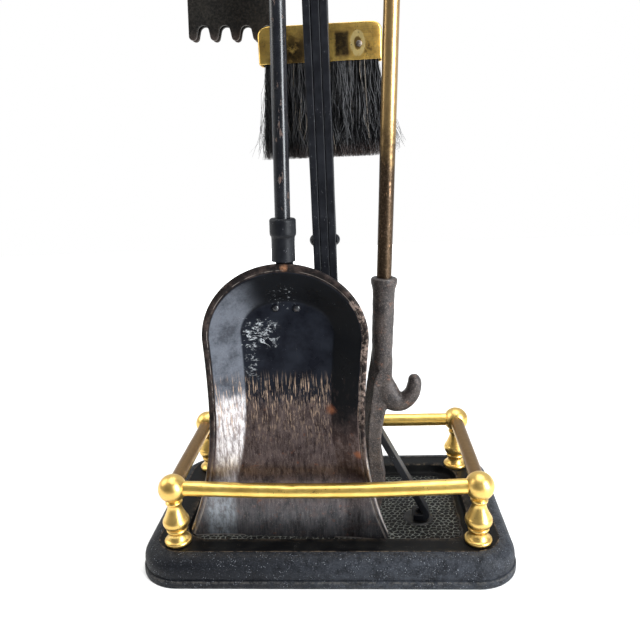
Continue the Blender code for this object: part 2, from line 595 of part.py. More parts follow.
def build_brush():
    empty, towards_arm = hang("brush")
    skin = 1.0
    shell = plate("brush_ferrule", tombstone(FERRULE_WIDTH, FERRULE_BOTTOM, FERRULE_TOP, 6.5),
                  FERRULE_DEPTH, "XZ", BRASS)
    room = plate("cut", tombstone(FERRULE_WIDTH - 2 * skin, FERRULE_BOTTOM - 5, FERRULE_TOP - skin, 5.5),
                 FERRULE_DEPTH - 2 * skin, "XZ")
    combine(shell, room)
    inner = FERRULE_WIDTH - 2 * skin - 2 * GAP
    deep = FERRULE_DEPTH - 2 * skin - 2 * GAP
    floor = FERRULE_BOTTOM + 6
    block = plate("brush_block", tombstone(inner, floor, FERRULE_TOP - skin - GAP, 5.2), deep, "XZ", WOOD)
    outline = [(-inner / 2, floor - GAP), (-inner / 2, FERRULE_BOTTOM), (-inner / 2 - 2, BRISTLE_END + 8),
               (-inner / 2 + 3, BRISTLE_END), (inner / 2, BRISTLE_END), (inner / 2 + 8, BRISTLE_END + 7),
               (inner / 2, FERRULE_BOTTOM), (inner / 2, floor - GAP)]
    bristles = plate("brush_bristles", outline, deep, "XZ", HAIR)
    foot = floor + 6
    pieces = [shell, room, block, bristles, grip("brush")]
    for target in (shell, block):
        cut = cylinder("cut", ROD_RADIUS + GAP, (0, 0, foot - GAP), (0, 0, -290), segments=20)
        combine(target, cut)
        pieces.append(cut)
    pieces.append(crooked_rod("brush", towards_arm, foot))
    face = FERRULE_DEPTH / 2
    height = (FERRULE_TOP + FERRULE_BOTTOM) / 2 - 1.9
    for name, x in (("left", -27.5), ("right", 27.5)):
        for target in (shell, block):
            cut = cylinder("cut", 1.3, (x, 2, height), (x, -20, height), segments=10)
            combine(target, cut)
            pieces.append(cut)
        profile = [(0, face + 1.2), (1.4, face + 1.0), (2.2, face + GAP), (1.0, face + GAP),
                   (1.0, -1.2), (0, -1.2)]
        nail = turned("brush_nail_" + name, profile, BRASS, steps=10)
        nail.location = Vector((x, 0, height)) * MM
        nail.rotation_euler = (pi / 2, 0, 0)
        pieces.append(nail)
    carry(empty, pieces)


def jaw_outline():
    """A shouldered plate whose lower edge is cut into round-ended teeth."""
    first = -TOOTH_PITCH * (TEETH - 1) / 2
    outline = []
    for i in range(TEETH):
        middle = first + TOOTH_PITCH * i
        outline += arc((middle, JAW_TIP + 3.0), 3.0, 190, 350, 4)
        if i < TEETH - 1:
            outline += arc((middle + TOOTH_PITCH / 2, JAW_TIP + TOOTH_LENGTH - 3.9), 3.9, 175, 5, 4)
    shoulder = JAW_WIDTH / 2
    outline += [(shoulder, JAW_TIP + 14), (shoulder, JAW_TOP - 22)]
    outline += arc((shoulder - 14, JAW_TOP - 22), 14, 20, 75, 3)
    outline += [(9, JAW_TOP), (-9, JAW_TOP)]
    outline += arc((-shoulder + 14, JAW_TOP - 22), 14, 105, 160, 3)
    outline += [(-shoulder, JAW_TOP - 22), (-shoulder, JAW_TIP + 14)]
    return outline


def tong_leg(name, side):
    """A leg: an eye beside the head, a round shank, and a flat palm against its jaw."""
    x_eye = side * (LUG_THICK + GAP)
    y_jaw = side * (JAW_SPREAD - JAW_THICK / 2)
    y_palm = side * (JAW_SPREAD + JAW_THICK + GAP + 1.5)
    line = [(x_eye, 0, -PIVOT_DROP), (x_eye, 0, -PIVOT_DROP - 10),
            (x_eye * 0.6, y_palm * 0.7, -PIVOT_DROP - 30), (0, y_palm, -PIVOT_DROP - 44),
            (0, y_palm, JAW_TOP - 4)]
    leg = rod("tongs_leg_" + name, line, 4.0, BLACK, [0.49, 0.49, 0.9, 1.0, 0.37], sides=2)
    eye = cylinder("eye", 8.5, (x_eye - side * LUG_THICK / 2, 0, -PIVOT_DROP),
                   (x_eye + side * LUG_THICK / 2, 0, -PIVOT_DROP), segments=20)
    palm = plate("palm", tombstone(15, JAW_TOP - 20, JAW_TOP + 6, 5), 3.0, "XZ", offset=(0, y_palm, 0))
    combine(leg, eye, "UNION")
    combine(leg, palm, "UNION")
    jaw = plate("tongs_jaw_" + name, jaw_outline(), JAW_THICK, "XZ", BLACK,
                (0, y_jaw + side * JAW_THICK, 0))
    bore = cylinder("cut", 2.8, (-30, 0, -PIVOT_DROP), (30, 0, -PIVOT_DROP), segments=12)
    combine(leg, bore)
    pieces = [leg, eye, palm, jaw, bore]
    height = JAW_TOP - 11
    for target in (leg, jaw):
        cut = cylinder("cut", 1.8, (0, -30, height), (0, 30, height), segments=10)
        combine(target, cut, solver="MANIFOLD")
        pieces.append(cut)
    inside = JAW_SPREAD - GAP - JAW_THICK / 2 + 1.2
    outside = abs(y_palm) + 1.5 + GAP
    profile = [(0, outside + 1.5), (1.7, outside + 1.2), (3.2, outside), (1.5, outside),
               (1.5, inside + 0.4), (0, inside + 0.4)]
    rivet = turned("tongs_rivet_" + name, profile, STEEL, steps=10)
    rivet.location = Vector((0, 0, height)) * MM
    rivet.rotation_euler = (-side * pi / 2, 0, 0)
    return pieces + [rivet]


def build_tongs():
    empty, towards_arm = hang("tongs")
    shaft = crooked_rod("tongs", towards_arm, -PIVOT_DROP + 12)
    lug = cylinder("lug", 8.5, (-LUG_THICK / 2, 0, -PIVOT_DROP), (LUG_THICK / 2, 0, -PIVOT_DROP),
                   segments=20)
    neck = plate("neck", [(-3.6, -PIVOT_DROP), (3.6, -PIVOT_DROP), (3.6, -PIVOT_DROP + 16),
                          (-3.6, -PIVOT_DROP + 16)], LUG_THICK, "YZ")
    bore = cylinder("cut", 2.8, (-30, 0, -PIVOT_DROP), (30, 0, -PIVOT_DROP), segments=12)
    combine(shaft, lug, "UNION")
    combine(shaft, neck, "UNION")
    combine(shaft, bore)
    pieces = [shaft, lug, neck, bore, grip("tongs")]
    pieces += tong_leg("front", -1) + tong_leg("rear", 1)
    outside = 1.5 * LUG_THICK + 2 * GAP
    head = [(0, outside + 2.2), (2.2, outside + 1.9), (4.2, outside), (2.5, outside)]
    tail = [(r, -z) for r, z in reversed(head)]
    pin = turned("tongs_pivot", head + tail, STEEL, steps=12)
    pin.location = (0, 0, -PIVOT_DROP * MM)
    pin.rotation_euler = (0, pi / 2, 0)
    carry(empty, pieces + [pin])


# ---------------------------------------------------------------- build
clear_scene()
PARTS = make_collection("fireplace_tool_set")
CUTTERS = make_collection("cutters")
IRON = make_material("cast_iron_black", (0.018, 0.018, 0.019), 0.62, 0.3)
BLACK = make_material("black_enamel", (0.02, 0.02, 0.021), 0.4, 0.4)
RUST = make_material("worn_cast_iron", (0.10, 0.075, 0.06), 0.6, 0.7)
BRASS = make_material("polished_brass", (0.83, 0.60, 0.22), 0.2, 1.0)
STEEL = make_material("rivet_steel", (0.16, 0.13, 0.11), 0.5, 0.9)
WOOD = make_material("beech", (0.45, 0.29, 0.16), 0.6, 0.0)
HAIR = make_material("black_bristle", (0.015, 0.015, 0.016), 0.7, 0.0)

FEET = {"left": (SCREW_INSET - LEG_REACH_SIDE, 0), "right": (LEG_REACH_SIDE - SCREW_INSET, 0),
        "front": (0, SCREW_INSET - LEG_REACH_FRONT), "rear": (0, LEG_REACH_REAR - SCREW_INSET)}
GALLERY = {"front_left": (-RAIL_X, RAIL_FRONT), "front_right": (RAIL_X, RAIL_FRONT),
           "rear_left": (-RAIL_X, RAIL_REAR), "rear_right": (RAIL_X, RAIL_REAR)}

build_tray()
build_gallery()
build_stand()
build_head()
build_shovel()
build_poker()
build_brush()
build_tongs()
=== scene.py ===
"""Looks of the fireplace tool set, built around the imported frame.

Shapes are drawn in millimetres and stored in metres. Each tool is drawn upright round its own
rod, with z = 0 at the height of the stand's arms, and TOOL places it.
"""

import random
from math import atan, cos, pi, radians, sin, sqrt

import bmesh
import bpy
from mathutils import Euler, Matrix, Vector, kdtree, noise


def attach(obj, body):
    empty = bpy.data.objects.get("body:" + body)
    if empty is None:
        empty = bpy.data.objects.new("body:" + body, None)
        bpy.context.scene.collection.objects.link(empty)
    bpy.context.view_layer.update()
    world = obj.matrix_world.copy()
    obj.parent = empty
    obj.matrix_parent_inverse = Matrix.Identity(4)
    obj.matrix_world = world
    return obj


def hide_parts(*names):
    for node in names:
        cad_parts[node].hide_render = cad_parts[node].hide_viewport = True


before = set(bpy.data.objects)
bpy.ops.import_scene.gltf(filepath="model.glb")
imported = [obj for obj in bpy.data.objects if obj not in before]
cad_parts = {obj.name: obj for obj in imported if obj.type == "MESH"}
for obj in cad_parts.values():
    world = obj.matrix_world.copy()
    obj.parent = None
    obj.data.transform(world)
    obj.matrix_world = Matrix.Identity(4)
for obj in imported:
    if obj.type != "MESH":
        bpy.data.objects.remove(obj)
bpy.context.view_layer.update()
random.seed(7)


# ------------------------------------------------------------------ places
ARM_LEVEL = 690.0
POST = Vector((6.0, -15.0))
CROOK, WIRE, ROD = 14.0, 3.5, 5.2
# name: (origin on the rod's axis, lean sideways and back, the crook's direction, side)
PLACES = {
    "shovel": ((-5.591, -37.0, 690.487), (0.034, 0.009), (0.9937, 0.1124)),
    "poker": ((67.707, -20.998, 690.129), (0.0432, 0.0150), (-0.1305, 0.9914)),
    "brush": ((6.4, 22.0, 690.0), (0.0, 0.0), (0.9215, -0.3883)),
    "tongs": ((-40.512, 40.0, 689.547), (0.052, 0.0), (-0.6236, -0.7818)),
}
ARMS = {"shovel": ((0.1124, -0.9937), 20.6), "poker": ((0.9914, 0.1305), 60.4),
        "brush": ((0.3883, 0.9215), 34.3), "tongs": ((-0.7818, 0.6236), 70.6)}
TOOL = {}
for _name, (_origin, _lean, _side) in PLACES.items():
    _tilt = Euler((-atan(_lean[1]), atan(_lean[0]), 0)).to_matrix().to_4x4()
    TOOL[_name] = Matrix.Translation(Vector(_origin)) @ _tilt
SIDE, FRONT, REAR = 111.2, -57.9, 54.1
CORNERS = {"front_left": (-SIDE, FRONT), "front_right": (SIDE, FRONT),
           "rear_left": (-SIDE, REAR), "rear_right": (SIDE, REAR)}
RAIL_HEIGHT, RAIL_RADIUS, BALL_RADIUS = 67.3, 5.4, 10.4
QUARTERS = ((1, 1, 0), (-1, 1, 90), (-1, -1, 180), (1, -1, 270))


# ------------------------------------------------------------------ mesh helpers
def smooth_step(t):
    t = min(max(t, 0.0), 1.0)
    return t * t * (3 - 2 * t)


def mix(a, b, t):
    return a + (b - a) * t


def spline(points, per=6):
    """A Catmull-Rom curve through points of any dimension."""
    points = [Vector(p) for p in points]
    result = []
    for i in range(len(points) - 1):
        p0, p1 = points[max(i - 1, 0)], points[i]
        p2, p3 = points[i + 1], points[min(i + 2, len(points) - 1)]
        for k in range(per):
            t = k / per
            result.append(0.5 * (2 * p1 + (p2 - p0) * t + (2 * p0 - 5 * p1 + 4 * p2 - p3) * t * t
                                 + (3 * p1 - p0 - 3 * p2 + p3) * t ** 3))
    return result + [points[-1]]


def arc(centre, radius, start, end, steps):
    return [(centre[0] + radius * cos(radians(mix(start, end, i / steps))),
             centre[1] + radius * sin(radians(mix(start, end, i / steps)))) for i in range(steps + 1)]


class Shape:
    """Vertices, faces and one value of wear at each vertex, gathered before they become a piece."""

    def __init__(self):
        self.verts, self.faces, self.wear, self.flat = [], [], [], []

    def add(self, point, wear=0.0, flat=None):
        self.verts.append(Vector(point))
        self.wear.append(wear)
        self.flat.append(flat or (0.0, 0.0))
        return len(self.verts) - 1

    def loft(self, rings, wear=None, caps=(True, True)):
        """Skin over rings of points; wear gives a value for each ring or for each point."""
        ids = []
        for i, ring in enumerate(rings):
            row = wear[i] if wear else 0.0
            ids.append([self.add(p, row[k] if isinstance(row, (list, tuple)) else row)
                        for k, p in enumerate(ring)])
        count = len(rings[0])
        for a, b in zip(ids, ids[1:]):
            for k in range(count):
                n = (k + 1) % count
                self.faces.append((a[k], a[n], b[n], b[k]))
        if caps[0]:
            self.faces.append(tuple(reversed(ids[0])))
        if caps[1]:
            self.faces.append(tuple(ids[-1]))
        return ids

    def lathe(self, profile, sides=40, wear=None, matrix=None, caps=(True, True)):
        """Turn (radius, height) about Z."""
        matrix = matrix or Matrix.Identity(4)
        rings = []
        for r, z in profile:
            rings.append([matrix @ Vector((r * cos(2 * pi * k / sides), r * sin(2 * pi * k / sides), z))
                          for k in range(sides)])
        self.loft(rings, wear, caps)

    def tube(self, path, radius, sides=20, section=None, wear=None, up=(0.0, 1.0, 0.0)):
        """A round or shaped rod along path; radius is a number or one for each point."""
        path = [Vector(p) for p in path]
        normal = Vector(up)
        rings, values = [], []
        for i, point in enumerate(path):
            tangent = (path[min(i + 1, len(path) - 1)] - path[max(i - 1, 0)]).normalized()
            normal = (normal - tangent * normal.dot(tangent)).normalized()
            side = tangent.cross(normal)
            r = radius[i] if isinstance(radius, (list, tuple)) else radius
            ring = []
            for k in range(sides):
                a = 2 * pi * k / sides
                scale = section(a, i / (len(path) - 1), point) if section else 1.0
                ring.append(point + (normal * cos(a) + side * sin(a)) * r * scale)
            rings.append(ring)
            values.append(wear(i / (len(path) - 1)) if wear else 0.0)
        self.loft(rings, values)

    def strap(self, path, thick, deep, across, edge=0.6, matrix=None, per_edge=2):
        """A flat bar along a path in a plane; across is the direction of its depth."""
        matrix = matrix or Matrix.Identity(4)
        path = [Vector(p) for p in path]
        across = Vector(across)
        section = []
        for sx, sy, start in QUARTERS:
            corner = (sx * (thick / 2 - edge), sy * (deep / 2 - edge))
            section += [(u, v, 1.0) for u, v in arc(corner, edge, start, start + 90, 3)]
            ends = {0: (-1, 0), 90: (0, -1), 180: (1, 0), 270: (0, 1)}[start]
            u0, v0 = section[-1][:2]
            length = (thick if ends[0] else deep) - 2 * edge
            rim = min(0.3, length / 4)
            for k in range(per_edge + 2):
                away = mix(rim, length - rim, k / (per_edge + 1))
                section.append((u0 + ends[0] * away, v0 + ends[1] * away, 0.0))
        rings, values = [], []
        for i, point in enumerate(path):
            before = (point - path[max(i - 1, 0)])
            after = (path[min(i + 1, len(path) - 1)] - point)
            before = (before if before.length else after).normalized()
            after = (after if after.length else before).normalized()
            tangent = (before + after).normalized()
            normal = tangent.cross(across).normalized()
            stretch = 1 / max(normal.dot(after.cross(across).normalized()), 0.5)
            rings.append([matrix @ (point + normal * u * stretch + across * v) for u, v, _ in section])
            values.append([w for _, _, w in section])
        self.loft(rings, values)

    def prism(self, outline, thick, matrix, edge=0.8, steps=3, wear=1.0):
        """A plate in the XZ plane with rounded edges; its outline runs anticlockwise in x, z."""
        points = [Vector((u, v)) for u, v in outline]
        count = len(points)
        normals = []
        for i, p in enumerate(points):
            a = (p - points[i - 1]).normalized()
            b = (points[(i + 1) % count] - p).normalized()
            n = Vector((a.y + b.y, -a.x - b.x))
            n = n.normalized() if n.length > 1e-6 else Vector((b.y, -b.x))
            normals.append(n / max(n.dot(Vector((b.y, -b.x))), 0.6))
        rings, values = [], []
        for side in (-1, 1):
            turn = range(steps + 1) if side < 0 else range(steps, -1, -1)
            for k in turn:
                a = pi / 2 * k / steps
                inset = edge * (1 - sin(a))
                y = side * (thick / 2 - edge * (1 - cos(a)))
                rings.append([matrix @ Vector((p.x - n.x * inset, y, p.y - n.y * inset))
                              for p, n in zip(points, normals)])
                values.append(wear * (0.4 + 0.6 * k / steps))
        self.loft(rings, values)

    def make(self, name, body, material, slot, nodes=(), angle=40, wobble=0.0, grain=6.0):
        """Turn the shape into a piece that rides on body and stands for the CAD nodes."""
        coords = self.verts
        if wobble:
            coords = [v + noise.noise_vector(v / grain) * wobble for v in coords]
        mesh = bpy.data.meshes.new(name)
        mesh.from_pydata([v / 1000 for v in coords], [], self.faces)
        mesh.attributes.new("wear", "FLOAT", "POINT").data.foreach_set("value", self.wear)
        bm = bmesh.new()
        bm.from_mesh(mesh)
        bmesh.ops.recalc_face_normals(bm, faces=bm.faces)
        layer = bm.loops.layers.uv.new("flat")
        for face in bm.faces:
            for corner in face.loops:
                corner[layer].uv = self.flat[corner.vert.index]
        bm.to_mesh(mesh)
        bm.free()
        mesh.shade_smooth()
        mesh.set_sharp_from_angle(angle=radians(angle))
        mesh.materials.append(material)
        piece = bpy.data.objects.new(name, mesh)
        bpy.context.scene.collection.objects.link(piece)
        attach(piece, body)
        if nodes:
            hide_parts(*nodes)
        return piece

    def cover(self, node, body, material, slot, angle=40, wobble=0.0, grain=6.0):
        """A finer piece in the place of one CAD node."""
        return self.make(node + "_fine", body, material, slot, [node], angle, wobble, grain)


def turned(node, body, material, slot, profile, sides, place, wear=None, **how):
    """A piece turned from one profile, in the place of one CAD node."""
    shape = Shape()
    shape.lathe(profile, sides, wear, place)
    return shape.cover(node, body, material, slot, **how)


# ------------------------------------------------------------------ material helpers
class Paint:
    """A node material. Its coordinates are the piece's own, in millimetres."""

    def __init__(self, name, roughness=0.4, metallic=0.0, **sockets):
        self.mat = bpy.data.materials.new(name)
        self.mat.use_nodes = True
        self.tree = self.mat.node_tree
        self.shader = self.tree.nodes["Principled BSDF"]
        self.set("Roughness", roughness)
        self.set("Metallic", metallic)
        for socket, value in sockets.items():
            self.set(socket.replace("_", " "), value)
        scale = self.node("ShaderNodeVectorMath", operation="SCALE")
        self.link(self.node("ShaderNodeTexCoord").outputs["Object"], scale.inputs[0])
        scale.inputs["Scale"].default_value = 1000
        self.place = scale.outputs[0]
        self.wear = self.node("ShaderNodeAttribute", attribute_name="wear").outputs["Fac"]
        self.tone = None

    def node(self, kind, **settings):
        made = self.tree.nodes.new(kind)
        for key, value in settings.items():
            setattr(made, key, value)
        return made

    def link(self, a, b):
        self.tree.links.new(a, b)

    def plug(self, socket, value):
        if isinstance(value, bpy.types.NodeSocket):
            self.link(value, socket)
        elif isinstance(value, (tuple, list)) and len(value) == 3 and len(socket.default_value) == 4:
            socket.default_value = (*value, 1.0)
        else:
            socket.default_value = value

    def set(self, name, value):
        self.plug(self.shader.inputs[name], value)

    def split(self, vector):
        made = self.node("ShaderNodeSeparateXYZ")
        self.link(vector, made.inputs[0])
        return made.outputs[0], made.outputs[1], made.outputs[2]

    def flat(self):
        """The piece's flat coordinates in millimetres, as x and y."""
        return self.split(self.node("ShaderNodeUVMap", uv_map="flat").outputs[0])[:2]

    def facing(self):
        """The x, y and z of the surface's direction."""
        return self.split(self.node("ShaderNodeTexCoord").outputs["Normal"])

    def axis(self, k):
        return self.split(self.place)[k]

    def stretched(self, scale, shift=(0, 0, 0)):
        mapping = self.node("ShaderNodeMapping")
        self.link(self.place, mapping.inputs[0])
        mapping.inputs["Scale"].default_value = scale
        mapping.inputs["Location"].default_value = shift
        return mapping.outputs[0]

    def noise(self, size, detail=4, rough=0.55, stretch=(1, 1, 1), shift=(0, 0, 0), warp=0.0):
        """Noise whose features are about size millimetres wide; stretch lengthens them."""
        made = self.node("ShaderNodeTexNoise")
        scale = tuple(1 / (size * s) for s in stretch)
        self.link(self.stretched(scale, shift), made.inputs["Vector"])
        made.inputs["Scale"].default_value = 1
        made.inputs["Detail"].default_value = detail
        made.inputs["Roughness"].default_value = rough
        made.inputs["Distortion"].default_value = warp
        return made.outputs[0]

    def cells(self, size, shift=(0, 0, 0)):
        """The distance from the nearest of some scattered points."""
        made = self.node("ShaderNodeTexVoronoi", feature="F1")
        self.link(self.stretched((1 / size,) * 3, shift), made.inputs["Vector"])
        made.inputs["Scale"].default_value = 1
        return made.outputs["Distance"]

    def ramp(self, value, low, high, out_low=0.0, out_high=1.0):
        """A soft step from out_low to out_high as value goes from low to high."""
        made = self.node("ShaderNodeMapRange", interpolation_type="SMOOTHSTEP")
        made.inputs["From Min"].default_value = low
        made.inputs["From Max"].default_value = high
        made.inputs["To Min"].default_value = out_low
        made.inputs["To Max"].default_value = out_high
        self.plug(made.inputs["Value"], value)
        return made.outputs[0]

    def within(self, value, low, inner_low, inner_high, high):
        """1 from inner_low to inner_high, falling to 0 at low and high."""
        return self.times(self.ramp(value, low, inner_low), self.ramp(value, inner_high, high, 1, 0))

    def math(self, operation, a, b=0.0):
        made = self.node("ShaderNodeMath", operation=operation)
        self.plug(made.inputs[0], a)
        self.plug(made.inputs[1], b)
        return made.outputs[0]

    def times(self, *values):
        total = values[0]
        for value in values[1:]:
            total = self.math("MULTIPLY", total, value)
        return total

    def most(self, first, *others):
        for value in others:
            first = self.math("MAXIMUM", first, value)
        return first

    def plus(self, a, b):
        return self.math("ADD", a, b)

    def rest(self, value):
        return self.math("SUBTRACT", 1.0, value)

    def sway(self, value, reach):
        """Noise turned into a shift to either side."""
        return self.times(self.math("SUBTRACT", value, 0.5), reach)

    def length(self, dx, dy):
        return self.math("SQRT", self.plus(self.times(dx, dx), self.times(dy, dy)))

    def blend(self, fac, a, b):
        made = self.node("ShaderNodeMix", data_type="RGBA")
        self.plug(made.inputs[0], fac)
        self.plug(made.inputs[6], a)
        self.plug(made.inputs[7], b)
        return made.outputs[2]

    def coat(self, mask, colour):
        """Lay a colour over what is there, as far as mask says."""
        self.tone = self.blend(mask, self.tone, colour)

    def level(self, fac, a, b):
        made = self.node("ShaderNodeMix", data_type="FLOAT")
        self.plug(made.inputs[0], fac)
        self.plug(made.inputs[2], a)
        self.plug(made.inputs[3], b)
        return made.outputs[0]

    def bump(self, *layers):
        """Layers of (height, depth in millimetres)."""
        normal = None
        for height, depth in layers:
            made = self.node("ShaderNodeBump")
            made.inputs["Strength"].default_value = 1.0
            made.inputs["Distance"].default_value = depth / 1000
            self.link(height, made.inputs["Height"])
            if normal:
                self.link(normal, made.inputs["Normal"])
            normal = made.outputs[0]
        if normal:
            self.link(normal, self.shader.inputs["Normal"])

    def spot(self, x, y, u, v, radius, soft=0.5):
        """1 within radius of a point of the flat coordinates."""
        away = self.length(self.math("SUBTRACT", x, u), self.math("SUBTRACT", y, v))
        return self.ramp(away, radius * (1 - soft), radius * (1 + soft), 1.0, 0.0)

    def done(self, rough=None, *layers):
        """Finish the material: its colour, how rough it is and its layers of relief."""
        self.set("Base Color", self.tone)
        if rough is not None:
            self.set("Roughness", rough)
        self.bump(*layers)
        return self.mat


def make_brass(name, axis=None, tarnish=0.25, soot=None, top=0.0, dull=0.0, cap=False):
    """Polished brass with streaks along an axis, brown tarnish, dark specks and, lower down, soot; on the
    ferrule also a painted reflection of a rod.
    """
    p = Paint(name, 0.2, 1.0)
    cloud = p.noise(14, 5, 0.6)
    p.tone = p.blend(p.ramp(cloud, 0.3, 0.7), (1.0, 0.70, 0.20), (0.86, 0.55, 0.13))
    p.coat(dull, (0.46, 0.30, 0.15))
    long = [1, 1, 1]
    if axis is not None:
        long[axis] = 40
    streak = p.noise(0.9, 3, 0.6, tuple(long))
    p.coat(p.ramp(streak, 0.50, 0.72, 0, 0.45), (0.60, 0.40, 0.13))
    patch = p.noise(9, 8, 0.7, shift=(3, 8, 1))
    mask = p.ramp(patch, 0.66 - 0.3 * tarnish, 0.76 - 0.3 * tarnish)
    if top:
        mask = p.most(mask, p.ramp(p.plus(p.facing()[2], p.sway(cloud, 0.8)), -0.2, 0.35, 0, top))
    if cap:
        # The brush's ferrule: a dark patch, a broad faint dark one that is a painted reflection of a rod,
        # a ring and a stain
        x, y, z = p.split(p.place)
        ragged = p.sway(p.noise(2.0, 6, 0.75), 2.4)
        u, v = p.plus(x, ragged), p.plus(z, ragged)
        front = p.ramp(y, 14.8, 15.6, 1, 0)
        square = p.times(p.within(u, 15.6, 18.0, 25.6, 29.0), p.within(v, 363.0, 366.4, 379.4, 383.0))
        # Painted reflection of a rod: a broad, faint dark patch on the left of the front
        rod_reflection = p.times(p.spot(u, v, -12, 369, 14.0, 0.8), p.ramp(p.noise(6, 5, 0.65), 0.34, 0.52))
        patches = p.most(square, rod_reflection)
        du = p.math("DIVIDE", p.math("SUBTRACT", u, 33.0), 5.0)
        dv = p.math("DIVIDE", p.math("SUBTRACT", v, 372.7), 8.2)
        away = p.length(du, dv)
        ring = p.within(away, 0.50, 0.60, 0.98, 1.12)
        inside = p.ramp(away, 0.46, 0.58, 1, 0)
        stain = p.times(p.spot(u, v, 40, 369, 5.0, 0.9), p.ramp(p.noise(1.8, 5), 0.46, 0.60))
        dark = p.most(p.times(patches, p.ramp(p.noise(4, 6, 0.7), 0.3, 0.6, 0.88, 1.0)),
                      p.times(inside, 0.8), p.times(stain, 0.8))
        dark = p.times(dark, p.rest(ring), front)
        mask = p.most(p.times(mask, 0.6), dark)
    brown = p.blend(p.noise(2.5, 5), (0.22, 0.125, 0.060), (0.115, 0.068, 0.036))
    if cap:
        p.coat(p.ramp(p.noise(15, 5, 0.6, shift=(3, 5, 5)), 0.42, 0.66, 0, 0.7), (0.36, 0.21, 0.065))
        brown = p.blend(dark, brown, p.blend(p.noise(3.0, 5), (0.060, 0.042, 0.022),
                                             (0.016, 0.012, 0.009)))
    p.coat(mask, brown)
    if cap:
        p.coat(p.times(ring, front, p.ramp(p.noise(2, 5), 0.3, 0.5, 0.4, 0.9)), (1.0, 0.78, 0.34))
    fine = p.cells(1.9)
    speck = p.times(p.ramp(fine, 0.10, 0.24, 1, 0), p.ramp(p.noise(5, 3), 0.54, 0.64))
    p.coat(p.times(speck, 0.8), (0.07, 0.045, 0.02))
    rough = p.plus(p.ramp(p.noise(3, 6, 0.7), 0.3, 0.75, 0.30, 0.42), p.times(mask, 0.10))
    if soot:
        height = p.plus(p.axis(2), p.times(p.noise(9, 6, 0.7), 70))
        low = p.ramp(height, soot[0] + 35, soot[1] + 35, 1, 0)
        grain = p.ramp(p.noise(1.3, 5, 0.75), 0.50, 0.62)
        glint = p.times(p.ramp(p.noise(2.4, 6, 0.75, (1, 1, 2.5), (6, 6, 6)), 0.60, 0.68), 0.8)
        sooty = p.blend(grain, (0.030, 0.020, 0.016), (0.105, 0.072, 0.055))
        sooty = p.blend(glint, sooty, (0.46, 0.27, 0.16))
        p.coat(p.times(low, 0.94), sooty)
        rough = p.plus(rough, p.times(low, 0.10))
    return p.done(rough, (p.noise(16, 1), 0.12), (streak, 0.006))


def make_iron():
    """Sand-cast black iron, with pale grit, worn where wear is set, and paler towards the right as painted
    light.
    """
    p = Paint("sand_cast_iron", 0.55, Specular_IOR_Level=0.16)
    grain = p.noise(0.75, 4, 0.7)
    cloud = p.noise(22, 5, 0.6)
    p.tone = p.blend(p.ramp(cloud, 0.35, 0.7), (0.0022, 0.0028, 0.0045), (0.0055, 0.0065, 0.009))
    p.coat(p.ramp(grain, 0.52, 0.74, 0, 0.7), (0.050, 0.056, 0.070))
    # Pale dust specks, made heavier towards the right as painted light from that side
    pale_specks = p.times(p.ramp(p.cells(1.4), 0.15, 0.40, 1, 0), p.ramp(p.noise(9, 5, 0.65), 0.40, 0.62),
                   p.ramp(p.axis(0), -90, 50, 0.25))
    p.coat(p.times(pale_specks, 0.40), (0.17, 0.18, 0.21))
    # Patchy paler tone, faint on the left and strong on the right: painted light from the right
    patchy_painted_light = p.times(p.ramp(p.noise(7, 9, 0.85, shift=(6, 6, 1)), 0.36, 0.66),
                   p.ramp(p.axis(0), -90, 60, 0.05, 0.8))
    p.coat(patchy_painted_light, (0.044, 0.049, 0.060))
    grit = p.times(p.ramp(p.cells(1.5, shift=(3, 3, 3)), 0.10, 0.22, 1, 0),
                   p.ramp(p.noise(7, 4, shift=(3, 1, 2)), 0.46, 0.60))
    p.coat(p.times(grit, 0.8), (0.34, 0.36, 0.40))
    smear = p.times(p.ramp(p.noise(6, 8, 0.75, (1.6, 1, 0.6), (9, 2, 5)), 0.61, 0.72), 0.4)
    p.coat(smear, (0.12, 0.12, 0.125))
    edge = p.times(p.wear, p.ramp(p.noise(3, 5, 0.7, shift=(2, 2, 2)), 0.42, 0.62))
    p.coat(p.times(edge, 0.6), (0.15, 0.14, 0.125))
    return p.done(p.plus(p.ramp(cloud, 0.3, 0.7, 0.42, 0.52), p.times(grain, 0.12)),
                  (p.noise(7, 3), 0.12), (p.noise(1.0, 5, 0.7), 0.26), (p.cells(0.8), 0.10))


def make_rim():
    """The tray's flat rim and pan wall: smoother and a little brown."""
    p = Paint("rubbed_black_iron", 0.45, Specular_IOR_Level=0.10)
    cloud = p.noise(16, 6, 0.65)
    p.tone = p.blend(p.ramp(cloud, 0.35, 0.68), (0.0028, 0.003, 0.0035), (0.0075, 0.0075, 0.0075))
    scratch = p.ramp(p.noise(0.7, 3, 0.6, (22, 1.5, 1)), 0.64, 0.74, 0, 0.3)
    p.coat(scratch, (0.06, 0.055, 0.05))
    grit = p.times(p.ramp(p.cells(1.6), 0.12, 0.22, 1, 0), p.ramp(p.noise(8, 4), 0.52, 0.62))
    p.coat(p.times(grit, 0.35), (0.13, 0.12, 0.11))
    edge = p.times(p.wear, p.ramp(p.noise(5, 5, 0.7), 0.42, 0.62))
    p.coat(p.times(edge, 0.7), (0.17, 0.13, 0.095))
    return p.done(p.ramp(cloud, 0.3, 0.7, 0.40, 0.55), (p.noise(9, 3), 0.12),
                  (p.noise(1.3, 4, 0.6), 0.06))


